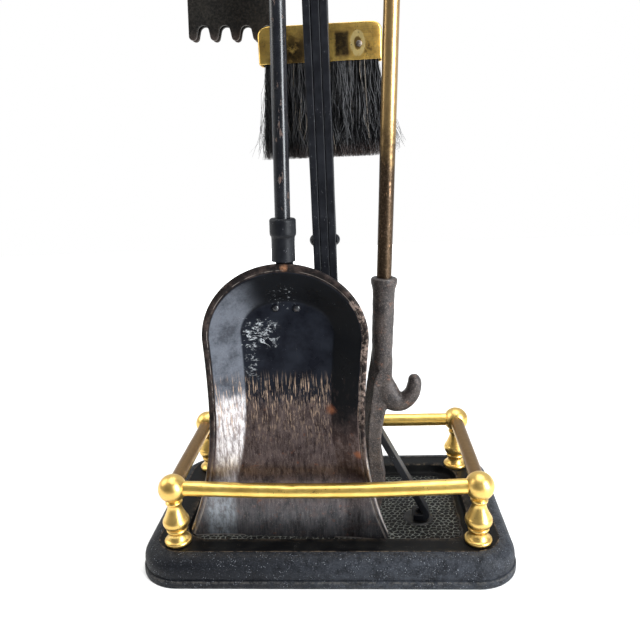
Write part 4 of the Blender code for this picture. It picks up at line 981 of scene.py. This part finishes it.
# ------------------------------------------------------------------ tools
def rod_and_crook(name, bottom, material, slot):
    """The rod with the crook that hangs over the arm."""
    towards = Vector((*PLACES[name][2], 0)).normalized()
    centre = 7.3 - CROOK
    line = [(2 * CROOK + 2.0, centre - 9.5), (2 * CROOK + 0.6, centre - 6), (2 * CROOK, centre - 2.5)]
    line += [(CROOK + CROOK * cos(radians(a)), centre + CROOK * sin(radians(a)))
             for a in range(0, 181, 10)]
    line += [(0, mix(-12, -34, i / 6)) for i in range(7)]
    thin = len(line)
    line += [(0, -39), (0, -42), (0, -45), (0, -49)]
    line += [(0, mix(-55, bottom, i / 60)) for i in range(61)]
    radii = [2.0, 2.7, 3.2] + [WIRE] * (thin - 3) + [3.6, 4.1, 4.8, ROD] + [ROD] * 61
    path = [TOOL[name] @ (towards * s + Vector((0, 0, z))) for s, z in line]

    def hand(a, t, point):
        """A little out of round, as if forged by hand."""
        return 1 + noise.noise(Vector((a * 0.5, point.z / 30, point.x / 30))) * 0.012

    rod = Shape()
    rod.tube(path, radii, 28, hand, up=tuple(towards))
    rod.cover(name + "_rod", name, material, slot, 60)


def build_grip(name):
    """The turned brass handle below the crook."""
    top, low = -50.0, -125.0
    outline = [(5.4, top), (6.9, top - 0.1), (7.8, top - 1.4), (8.2, top - 3.0), (7.8, top - 4.6),
               (7.05, top - 6.0), (7.3, top - 7.4), (8.0, top - 9.0), (7.6, top - 10.4),
               (6.9, top - 12.0), (7.6, top - 20.0), (8.6, top - 31.0), (9.0, top - 40.0),
               (8.6, top - 49.0), (7.6, low + 15.0), (7.0, low + 12.6), (8.0, low + 11.4),
               (7.9, low + 10.4), (7.0, low + 9.0), (7.3, low + 7.2), (8.3, low + 5.0),
               (8.4, low + 3.6), (7.6, low + 1.4), (6.4, low), (5.4, low)]
    turned(name + "_grip", name, BRASS, "polished_brass",
           [(max(p.x, 5.35), p.y) for p in spline(outline, 3)], 48, TOOL[name])


def build_pin(tool, material, z, half, axis):
    """A short pin through the tool's socket."""
    place = TOOL[tool] @ Matrix.Translation(Vector((0, 0, z))) @ Matrix.Rotation(pi / 2, 4, axis)
    profile = [(0.2, -half), (1.1, -half), (1.5, 0.2 - half), (1.5, half - 0.2), (1.1, half), (0.2, half)]
    turned(tool + "_pin", tool, material, "rivet_steel", profile, 20, place)


BLADE_TOP, SHOULDER, WAIST, TIP = -461.4, -515.0, -572.0, -672.0
HALF, WAIST_HALF, TIP_HALF = 58.5, 56.4, 74.2


def blade_half(z):
    """Half the blade's width: narrowest at the waist, widest at the tip."""
    if z > WAIST:
        return WAIST_HALF + (HALF - WAIST_HALF) * ((z - WAIST) / (SHOULDER - WAIST)) ** 2
    return WAIST_HALF + (TIP_HALF - WAIST_HALF) * ((WAIST - z) / (WAIST - TIP - 8)) ** 2


def blade_loop(inset, sides=60, crown=34):
    """A U-shaped line some way inside the blade's edge; near the tip it follows a round corner."""
    corner = 8.0
    reach = max(0.0, corner - inset)
    tip = TIP + corner - sqrt(corner * corner - reach * reach)
    half = []
    for i in range(sides):
        z = mix(tip, SHOULDER, (i / sides) ** 1.4)
        pull = 0.0
        if z < TIP + corner:
            pull = corner - sqrt(max(0.0, corner ** 2 - (TIP + corner - z) ** 2))
        half.append((blade_half(z) - max(inset, min(pull, inset + 9)) if inset < corner
                     else blade_half(z) - inset, z))
    for i in range(crown + 1):
        a = pi / 2 * i / crown
        half.append(((HALF - inset) * cos(a), SHOULDER + (BLADE_TOP - SHOULDER - 1.2 * inset) * sin(a)))
    return [(-x, z) for x, z in half] + [(x, z) for x, z in reversed(half[:-1])]


def blade_depth(z):
    return 2 + 13 * smooth_step((z - TIP) / 125)


def dish(inset):
    """The share of the dish's depth at a distance inside the rim: a flat wall and a soft crease."""
    t = (inset - 4.6) / (24.5 - 4.6)
    soft = 0.09
    if t <= -soft:
        return 0.0
    if t >= 1 + soft:
        return 1.0
    if t < soft:
        return (t + soft) ** 2 / (4 * soft)
    if t > 1 - soft:
        return 1 - (1 + soft - t) ** 2 / (4 * soft)
    return t


def build_blade():
    """A dished sheet with a rolled rim, both faces and the tip's edge in one closed skin."""
    rim = -6.0
    front = [(1.6, 3.9, 0.1), (0.7, 3.3, 0.2), (0.15, 2.2, 0.35), (0.0, 1.2, 0.5), (0.25, 0.3, 0.6),
             (0.8, -0.25, 0.62), (1.6, -0.5, 0.45), (2.5, -0.5, 0.45), (3.3, -0.2, 0.7),
             (3.8, 0.15, 1.0), (4.3, 0.35, 0.75)]
    inner = [5.0, 5.8, 6.8, 8.0, 9.5, 11.0, 13.0, 15.0, 17.0, 19.0, 20.5, 21.7, 22.6, 23.4, 24.2, 25.0,
             25.9, 27.0, 28.5, 31.0, 34.0, 37.5, 41.0]
    shape = Shape()
    rows = []

    def add_loop(inset, offset, wear, back):
        row = []
        for x, z in blade_loop(inset):
            taper = smooth_step((z - TIP - 1) / 24)
            edge = offset * taper
            y = rim + dish(inset) * blade_depth(z) + edge + (1.6 if back else 0.0)
            if not back:
                y += 0.35 * noise.noise(Vector((x / 17, z / 24, 1))) * smooth_step((inset - 5) / 8)
            near_tip = 1 - smooth_step((z - TIP) / 3.0)
            value = max(wear, 0.8 * near_tip) if not back else wear * 0.5
            point = TOOL["shovel"] @ Vector((x, y, z))
            row.append(shape.add(point, value, (x, z)))
        rows.append(row)

    for inset in reversed(inner):
        add_loop(inset, 0.0, 0.0, True)
    add_loop(4.0, 0.5, 0.0, True)
    for inset, offset, wear in front:
        add_loop(inset, offset, wear, False)
    for inset in inner:
        add_loop(inset, 0.0, 0.0, False)
    for a, b in zip(rows, rows[1:]):
        for i in range(len(a) - 1):
            shape.faces.append((a[i], b[i], b[i + 1], a[i + 1]))
    # The flat middle of the back and of the front, inside their last loops
    across, tip_edges = 8, []
    for which in (0, -1):
        row = rows[which]
        count = len(row) - 1
        strip = []
        for i in range(count // 2):
            left, right = shape.verts[row[i]], shape.verts[row[count - i]]
            fl, fr = shape.flat[row[i]], shape.flat[row[count - i]]
            line = [row[i]]
            for k in range(1, across):
                t = k / across
                x = mix(fl[0], fr[0], t)
                wave = 0.35 * noise.noise(Vector((x / 17, fl[1] / 24, 1))) if which else 0.0
                point = left.lerp(right, t) + Vector((0, wave, 0))
                line.append(shape.add(point, 0.0, (x, fl[1])))
            strip.append(line + [row[count - i]])
        for a, b in zip(strip, strip[1:]):
            for k in range(across):
                shape.faces.append((a[k], a[k + 1], b[k + 1], b[k]))
        peak = row[count // 2]
        for k in range(across):
            shape.faces.append((strip[-1][k], strip[-1][k + 1], peak))
        tip_edges.append(strip[0][1:-1])
    # The sheet's own thickness closes the skin along the tip
    left_rows, right_rows = [row[0] for row in rows], [row[-1] for row in rows]
    behind, before = len(inner) + 1, len(inner) + len(front)
    backs = left_rows[:behind][::-1] + tip_edges[0] + right_rows[:behind]
    fronts = left_rows[before:] + tip_edges[1] + right_rows[before:][::-1]
    for i in range(min(len(backs), len(fronts)) - 1):
        shape.faces.append((backs[i], backs[i + 1], fronts[i + 1], fronts[i]))
    shape.cover("shovel_blade", "shovel", BLADE, "black_enamel", angle=50)


def build_shovel():
    build_blade()
    socket = Shape()
    outline = [(5.5, -431.6), (7.4, -431.5), (8.3, -431.9), (8.85, -432.9), (8.9, -434.4), (8.9, -438.0),
               (8.9, -441.6), (8.6, -442.9), (8.1, -443.8), (7.9, -445.0), (7.8, -449.0),
               (8.0, -456.0), (8.1, -459.6), (7.4, -460.4), (0.4, -460.4)]
    socket.lathe([(abs(p.x), p.y) for p in spline(outline, 3)], 44, None, TOOL["shovel"])
    back = -6 + 15 + 1.6 + 0.3 + 1.5
    path = spline([(3.0, -457.0), (4.6, -462.0), (7.0, -467.0), (back - 1.2, -478.0), (back, -486.0),
                   (back, -503.4)], 5)
    socket.strap([(0, p.x, p.y) for p in path], 2.6, 12.0, (1, 0, 0), 0.7, TOOL["shovel"], 6)
    socket.strap([(0, back, -483.4), (0, back, -490.0), (0, back, -503.0)], 2.3, 24.0, (1, 0, 0), 0.7,
                 TOOL["shovel"], 6)
    socket.cover("shovel_socket", "shovel", ENAMEL, "black_enamel", wobble=0.12, grain=5)
    rod_and_crook("shovel", -456.0, ENAMEL_ROD, "black_enamel")
    build_grip("shovel")
    build_pin("shovel", ENAMEL, -451.9, 7.8, "X")
    for name, x in (("left", -7.5), ("right", 7.5)):
        turn = (TOOL["shovel"] @ Matrix.Translation(Vector((x, 0, -495.8)))
                @ Matrix.Rotation(pi / 2, 4, "X"))
        head = [(0.2, -7.1), (0.9, -7.2), (1.8, -7.6), (2.5, -8.2), (2.8, -8.8), (1.5, -8.9),
                (1.5, -13.7), (2.6, -13.7), (2.4, -14.3), (1.4, -15.0), (0.2, -15.1)]
        turned("shovel_rivet_" + name, "shovel", ENAMEL_ROD, "rivet_steel", head, 26, turn,
               [1, 0.8, 0.4] + [0] * 8)


def build_poker():
    """The head is drawn as a socket, a bowed blade and a hook, then melted into one forging."""
    head = Shape()
    place = TOOL["poker"]
    profile = [(0.5, -476.5), (8.2, -476.5), (9.0, -477.1), (9.3, -478.5), (9.2, -480.6), (8.5, -483.6),
               (8.0, -486.5), (7.8, -493.0), (7.7, -514.0), (7.5, -526.0), (7.0, -537.0), (5.0, -546.0),
               (0.5, -549.0)]
    head.lathe([(abs(p.x), p.y) for p in spline(profile, 3)], 40, None, place)
    # (middle, half width, height) of the bowed blade; its ridge crosses over to the left
    spine = [(0.2, 6.6, -516), (-0.2, 7.4, -530), (-0.6, 8.4, -543), (-1.6, 8.9, -555),
             (-3.0, 8.6, -568), (-4.6, 7.8, -580), (-5.5, 7.0, -592), (-5.6, 6.9, -604),
             (-4.4, 7.6, -617), (-2.6, 7.7, -629), (-1.2, 6.0, -641), (-0.4, 3.6, -651),
             (0.0, 1.6, -657.5), (0.2, 0.6, -660)]
    rings = []
    for x, half, z in spline(spine, 3):
        deep = min(5.8, 2.0 + half * 0.62)
        ridge = mix(0.5, -0.42, smooth_step((-528 - z) / 26))
        outline = [(-half, deep * 0.35), (-half, deep * 0.1),
                   (half * ridge, -deep * 1.08), (half * (ridge + 0.3), -deep * 1.0),
                   (half * 0.84, -deep * 0.84), (half, -deep * 0.45), (half, deep * 0.6),
                   (half * 0.7, deep), (-half * 0.6, deep)]
        rings.append([place @ Vector((x + u, v, z)) for u, v in outline])
    head.loft(rings)
    hook = spline([(-0.6, -546), (2.4, -558), (9.0, -567.8), (16.6, -568.6), (22.4, -562.6),
                   (24.2, -555.4), (23.6, -550.4), (23.2, -548.0)], 6)
    radii = [p.x for p in spline([(6.6, 0), (8.6, 0), (8.4, 0), (6.9, 0), (5.9, 0), (5.2, 0), (4.2, 0),
                                  (2.2, 0)], 6)]

    def flattened(a, t, point):
        """Less deep than it is wide where it leaves the body, round at its end."""
        squeeze = mix(0.66, 1.0, smooth_step(t * 1.5))
        return 1 / sqrt((cos(a) / squeeze) ** 2 + sin(a) ** 2)

    head.tube([place @ Vector((p.x, 0, p.y)) for p in hook], radii, 28, flattened)
    piece = head.cover("poker_head", "poker", FORGED, "worn_cast_iron", 180)
    melt = piece.modifiers.new("Melt", "REMESH")
    melt.mode = "VOXEL"
    melt.voxel_size = 0.00062
    melt.use_smooth_shade = True
    relax = piece.modifiers.new("Relax", "SMOOTH")
    relax.factor = 0.6
    relax.iterations = 5
    bpy.context.view_layer.update()
    melted = bpy.data.meshes.new_from_object(piece.evaluated_get(bpy.context.evaluated_depsgraph_get()))
    piece.modifiers.clear()
    piece.data = melted
    bm = bmesh.new()
    bm.from_mesh(melted)
    bm.normal_update()
    layer = bm.verts.layers.float.get("wear") or bm.verts.layers.float.new("wear")
    wear = {}
    for v in bm.verts:
        sharp = sum(max(0.0, (v.co - e.other_vert(v).co).normalized().dot(v.normal)) for e in v.link_edges)
        wear[v] = min(1.0, max(0.0, sharp / len(v.link_edges) - 0.05) * 7)
    for v in bm.verts:
        v[layer] = wear[v]
        where = v.co * 1000
        pit = min(0.0, noise.noise(where / 2.1) + 0.25) * 0.35 + noise.noise(where / 5.5) * 0.22
        v.co += v.normal * pit / 1000
    bm.to_mesh(melted)
    bm.free()
    melted.shade_smooth()
    rod_and_crook("poker", -503.7, BRASS_ROD, "polished_brass")
    build_grip("poker")
    build_pin("poker", FORGED, -488.5, 7.7, "Y")


def build_brush():
    """The ferrule is lofted from its open foot over the rounded shoulders to the flat crown."""
    place = TOOL["brush"]
    rings, wear = [], []
    half, deep, corner = 43.8, 8.0, 6.5

    def section(hx, hy, z, r):
        ring = []
        for sx, sy, start in QUARTERS:
            ring += [(x, y, z) for x, y in arc((sx * (hx - r), sy * (hy - r)), r, start, start + 90, 5)]
            if start in (0, 180):
                x0, y0, _ = ring[-1]
                ring += [(mix(x0, -x0, k / 20), y0, z) for k in range(1, 20)]
        return [place @ Vector(p) for p in ring]

    for inset, z in ((1.0, -322.0), (1.0, -327.9), (0.7, -328.2), (0.2, -328.1), (0.0, -327.7)):
        rings.append(section(half - inset, deep - inset, z, 1.6 if inset > 0.5 else 2.0))
        wear.append(0.5)
    for k in range(8):
        rings.append(section(half, deep, mix(-326.5, -313.4, k / 7), 2.0))
        wear.append(0.0)
    for k in range(1, 13):
        a = radians(90 * k / 12)
        down = corner * (1 - sin(a))
        rings.append(section(half - corner * (1 - cos(a)), deep - 0.9 * (1 - cos(a)),
                             -303.4 - down, 1.9))
        wear.append(0.2)
    rings.append(section(30.0, 5.0, -303.3, 1.9))
    wear.append(0.0)
    ferrule = Shape()
    ferrule.loft(rings, wear, (False, True))
    ferrule.lathe([(5.6, -303.8), (7.4, -303.4), (7.6, -302.6), (6.6, -301.9), (5.5, -301.8)], 40, None,
                  place)
    ferrule.cover("brush_ferrule", "brush", BRASS_CAP, "polished_brass", 50, wobble=0.10, grain=12)
    for name, x in (("left", -27.5), ("right", 27.5)):
        turn = place @ Matrix.Translation(Vector((x, 0, -317.7))) @ Matrix.Rotation(pi / 2, 4, "X")
        profile = [(1.0, -1.2), (1.0, 8.2), (2.2, 8.25), (2.1, 8.7), (1.4, 9.1), (0.2, 9.2)]
        turned("brush_nail_" + name, "brush", STEEL, "polished_brass", profile, 24, turn)
    rod_and_crook("brush", -316.0, ENAMEL_ROD, "black_enamel")
    build_grip("brush")
    build_bristles(place)


def build_bristles(place):
    """Some thousands of separate hairs, each a thin curly tube, round a dark core."""
    dice = random.Random(31)
    shape = Shape()
    top, end = -322.5, -394.0
    steps = 12

    def hair(x, y, dx, dy, wave, length, thick, tone):
        """One hair: it leans by (dx, dy) at its end and wanders by wave on the way."""
        phase, turns = dice.uniform(0, 6.3), dice.uniform(0.7, 2.4)
        other = dice.uniform(0, 6.3)
        ids = []
        for k in range(steps):
            t = k / (steps - 1)
            loose = wave * t ** 0.8
            cx = x + dx * t ** 1.6 + loose * (sin(phase + 6.3 * turns * t) - sin(phase)
                                             + 0.35 * sin(other + 17 * t))
            cy = y + dy * t ** 1.6 + 0.6 * loose * sin(other + 6.3 * turns * t)
            point = Vector((cx, cy, top + (end - top) * length * t))
            r = thick * {steps - 2: 0.8, steps - 1: 0.4}.get(k, 1)
            ids.append([shape.add(place @ (point + Vector((r * cos(a), r * sin(a), 0))), tone)
                        for a in (0.3, 2.4, 4.5)])
        for a, b in zip(ids, ids[1:]):
            for k in range(3):
                n = (k + 1) % 3
                shape.faces.append((a[k], a[n], b[n], b[k]))
        shape.faces.append(tuple(ids[0]))
        shape.faces.append(tuple(reversed(ids[-1])))

    def lean(x):
        """How the bundle spreads: tight on the left, brushed out to the right."""
        side = x / 40.0
        return side * 1.0 + (6.5 * side ** 5 if side > 0 else 1.8 * side ** 3)

    for _ in range(3300):
        x = dice.uniform(-39.6, 40.4)
        y = dice.choice((-1, 1)) * 6.2 * dice.random() ** 0.35
        clump = noise.noise(Vector((x / 4, y / 5, 2)))
        dx = lean(x) + clump * 4.6 + dice.gauss(0, 2.2)
        dy = y / 6.3 * 0.5 + noise.noise(Vector((x / 6, y / 4, 7))) * 1.0
        length = 1 - abs(dice.gauss(0, 0.018)) - (0.05 if x > 38 else 0.0)
        tone = dice.random() ** 3 * 0.88
        hair(x, y, dx, dy, abs(dice.gauss(1.3, 0.8)), length, dice.uniform(0.12, 0.19), tone)
    for _ in range(700):
        x = dice.uniform(-39.5, 40.5)
        y = dice.choice((-1, 1)) * dice.uniform(5.4, 6.8)
        tone = 1.0 if dice.random() < 0.05 else dice.uniform(0.4, 0.9)
        hair(x, y, lean(x) + dice.gauss(0, 5.5), dice.uniform(-0.8, 0.8), abs(dice.gauss(2.2, 1.0)),
             dice.uniform(0.82, 1.0), 0.14, tone)
    for side, count in ((-1, 46), (1, 90)):
        for _ in range(count):
            x = side * dice.uniform(36.5, 40.2)
            spread = dice.uniform(0, 21.0 if side > 0 else 5.0)
            hair(x, dice.uniform(-5.5, 5.5), side * spread, dice.gauss(0, 1.2),
                 abs(dice.gauss(0.9, 0.5)), dice.uniform(0.84, 0.96), 0.13, dice.random() * 0.85)
    hair(31.0, -7.0, 3.0, 0.0, 0.0, 0.99, 0.15, 1.0)
    core = [(-38.6, -6.0), (38.6, -6.0), (38.6, 6.0), (-38.6, 6.0)]
    rings = []
    for k in range(9):
        z = mix(-324.0, -386.0, k / 8)
        ring = []
        for (x0, y0), (x1, y1) in zip(core, core[1:] + core[:1]):
            for i in range(12):
                t = i / 12
                x, y = mix(x0, x1, t) * 0.98, mix(y0, y1, t) * 0.84
                x += 0.6 * noise.noise(Vector((x / 3, y, z / 20)))
                y += 0.5 * noise.noise(Vector((x / 2, z / 20, 4)))
                ring.append(place @ Vector((x, y, z + 2.5 * noise.noise(Vector((x / 4, k, 1))))))
        rings.append(ring)
    shape.loft(rings, [0.02] * 9)
    shape.cover("brush_bristles", "brush", HAIR, "black_bristle", angle=75)


def jaw_outline():
    """Five blunt teeth below, rounded shoulders above."""
    pitch, tip, long, top, half = 15.9, -308.0, 10.4, -240.0, 34.8
    outline = []
    for i in range(5):
        middle = pitch * (i - 2)
        outline += arc((middle, tip + 3.0), 3.0, 188, 352, 8)
        if i < 4:
            outline += arc((middle + pitch / 2, tip + long - 4.1), 4.1, 172, 8, 8)
    outline += [(half, tip + 8), (half, top - 22)]
    outline += arc((half - 14, top - 22), 14, 15, 78, 6)
    outline += [(9, top), (-9, top)]
    outline += arc((-half + 14, top - 22), 14, 102, 165, 6)
    outline += [(-half, top - 22), (-half, tip + 8)]
    return outline


def build_tongs():
    place = TOOL["tongs"]
    across = Matrix.Rotation(pi / 2, 4, "Y")
    rod_and_crook("tongs", -137.0, ENAMEL_ROD, "black_enamel")
    build_grip("tongs")
    lug = Shape()
    eye = [(2.8, -2.0), (7.9, -2.0), (8.5, -1.4), (8.5, 1.4), (7.9, 2.0), (2.8, 2.0)]
    pivot = place @ Matrix.Translation(Vector((0, 0, -148.0)))
    lug.lathe(eye, 44, [0.2, 0.8, 0.8, 0.8, 0.8, 0.2], pivot @ across)
    lug.strap([(0, 0, -129.0), (0, 0, -134.0), (0, 0, -141.0)], 4.0, 7.6, (0, 1, 0), 0.6, place)
    lug.make("tongs_lug", "tongs", ENAMEL_ROD, "black_enamel")
    for name, side, body in (("front", -1, "tongs"), ("rear", 1, "tongs_rear_leg")):
        x_eye, y_palm = side * 4.3, side * 7.4
        leg = Shape()
        turn = pivot @ Matrix.Translation(Vector((x_eye, 0, 0))) @ across
        leg.lathe(eye, 44, [0.2, 0.8, 0.8, 0.8, 0.8, 0.2], turn)
        path = spline([(x_eye, 0, -155.0), (x_eye, 0, -160.0), (x_eye * 0.6, y_palm * 0.7, -178.0),
                       (0.0, y_palm, -194.0), (0.0, y_palm, -214.0), (0.0, y_palm, -238.0)], 8)
        radii = []
        for i in range(len(path)):
            t = i / (len(path) - 1)
            radii.append(mix(1.96, 3.9, smooth_step(t / 0.45)) if t < 0.8
                         else mix(3.9, 2.0, (t - 0.8) / 0.2))
        leg.tube([place @ p for p in path], radii, 24, wear=lambda t: 0.1)
        palm = arc((2.5, -239.0), 5.0, 0, 90, 5) + arc((-2.5, -239.0), 5.0, 90, 180, 5)
        palm = [(-7.5, -260.0), (7.5, -260.0)] + palm
        leg.prism(palm, 3.0, place @ Matrix.Translation(Vector((0, y_palm, 0))), 0.7)
        leg.cover("tongs_leg_" + name, body, ENAMEL_ROD, "black_enamel", 50, wobble=0.05)
        jaw = Shape()
        jaw.prism(jaw_outline(), 3.0, place @ Matrix.Translation(Vector((0, side * 4.1, 0))), 0.8, 4)
        jaw.cover("tongs_jaw_" + name, body, JAW, "black_enamel", 50, wobble=0.12, grain=14)
        turn = (place @ Matrix.Translation(Vector((0, 0, -251)))
                @ Matrix.Rotation(-side * pi / 2, 4, "X"))
        profile = [(0.2, 10.7), (1.0, 10.6), (2.2, 10.1), (3.2, 9.2), (1.5, 9.15), (1.5, 2.4),
                   (0.2, 2.4)]
        turned("tongs_rivet_" + name, body, STEEL, "rivet_steel", profile, 24, turn)
    head = [(0.2, 8.9), (1.4, 8.75), (2.8, 8.2), (4.1, 6.75), (2.5, 6.7)]
    turned("tongs_pivot", "tongs", STEEL, "rivet_steel", head + [(r, -z) for r, z in reversed(head)],
           28, pivot @ across)


build_tray()
build_pan_floor()
build_gallery()
build_stand()
build_head()
build_shovel()
build_poker()
build_brush()
build_tongs()

for _node, _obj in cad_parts.items():
    _obj.data.materials.clear()
    _obj.data.materials.append(WOOD if _node == "brush_block" else STEEL)


# ------------------------------------------------------------------ camera, floor and light
def build_camera():
    yaw, pitch, roll = -0.070, 0.271, 0.045
    forward = Vector((sin(yaw) * cos(pitch), cos(yaw) * cos(pitch), -sin(pitch)))
    right = Vector((cos(yaw), -sin(yaw), 0))
    down = forward.cross(right)
    turned_right = right * cos(roll) + down * sin(roll)
    turned_down = down * cos(roll) - right * sin(roll)
    data = bpy.data.cameras.new("camera")
    data.sensor_width = 36
    data.lens = 34.938
    data.clip_start = 0.01
    camera = bpy.data.objects.new("camera", data)
    columns = Matrix((turned_right, -turned_down, -forward)).transposed()
    camera.matrix_world = Matrix.Translation(Vector((0.03091, -0.456783, 0.303689))) @ columns.to_4x4()
    bpy.context.scene.collection.objects.link(camera)
    bpy.context.scene.camera = camera


def build_floor():
    """A pale floor that glows towards its edges, so that it ends in the white round it."""
    mesh = bpy.data.meshes.new("floor")
    side, front, back = 1.3, -0.34, 1.5
    mesh.from_pydata([(-side, front, 0), (side, front, 0), (side, back, 0), (-side, back, 0)], [],
                     [(0, 1, 2, 3)])
    floor = bpy.data.objects.new("floor", mesh)
    bpy.context.scene.collection.objects.link(floor)
    p = Paint("pale_floor", 0.6)
    p.set("Base Color", p.blend(p.noise(60, 3), (0.90, 0.895, 0.885), (0.93, 0.925, 0.915)))
    dx = p.ramp(p.math("ABSOLUTE", p.axis(0)), 350, 900)
    dy = p.ramp(p.axis(1), 350, 1000)
    near = p.ramp(p.axis(1), -330, -230, 0.8, 0)
    far = p.most(dx, dy, near)
    p.set("Emission Color", (1.0, 0.998, 0.99))
    p.set("Emission Strength", p.plus(p.times(far, 0.8), 0.1))
    mesh.materials.append(p.mat)


def add_light(name, place, aim, size, power, colour=(1, 1, 1)):
    data = bpy.data.lights.new(name, "AREA")
    data.shape = "RECTANGLE"
    data.size, data.size_y = size
    data.energy = power
    data.color = colour
    light = bpy.data.objects.new(name, data)
    light.location = place
    light.rotation_euler = (Vector(aim) - Vector(place)).to_track_quat("-Z", "Y").to_euler()
    bpy.context.scene.collection.objects.link(light)


def build_light():
    """The camera sees plain white; the set is lit by a soft world and three area lights."""
    world = bpy.data.worlds.new("studio")
    bpy.context.scene.world = world
    world.use_nodes = True
    tree = world.node_tree
    shade = tree.nodes["Background"]
    seen = tree.nodes.new("ShaderNodeBackground")
    seen.inputs[0].default_value = (1, 1, 1, 1)
    seen.inputs[1].default_value = 1.0
    way = tree.nodes.new("ShaderNodeTexCoord")
    split = tree.nodes.new("ShaderNodeSeparateXYZ")
    tree.links.new(way.outputs["Generated"], split.inputs[0])
    ramp = tree.nodes.new("ShaderNodeMapRange")
    for name, value in (("From Min", -0.55), ("From Max", 0.35), ("To Min", 0.22), ("To Max", 0.75)):
        ramp.inputs[name].default_value = value
    tree.links.new(split.outputs[1], ramp.inputs["Value"])
    tree.links.new(ramp.outputs[0], shade.inputs["Strength"])
    shade.inputs["Color"].default_value = (0.94, 0.97, 1.0, 1)
    path = tree.nodes.new("ShaderNodeLightPath")
    both = tree.nodes.new("ShaderNodeMixShader")
    tree.links.new(path.outputs["Is Camera Ray"], both.inputs[0])
    tree.links.new(shade.outputs[0], both.inputs[1])
    tree.links.new(seen.outputs[0], both.inputs[2])
    tree.links.new(both.outputs[0], tree.nodes["World Output"].inputs[0])
    add_light("window", (1.1, -0.82, 0.72), (0.0, 0.0, 0.72), (0.5, 1.4), 42, (0.93, 0.97, 1.0))
    add_light("fill_left", (-1.2, 0.1, 0.9), (0.0, 0.0, 0.15), (0.8, 0.8), 7, (1.0, 0.98, 0.94))
    add_light("overhead", (0.1, 0.1, 1.8), (0.0, 0.0, 0.0), (1.4, 1.4), 22)


build_camera()
build_floor()
build_light()
bpy.context.scene.view_settings.view_transform = "Standard"
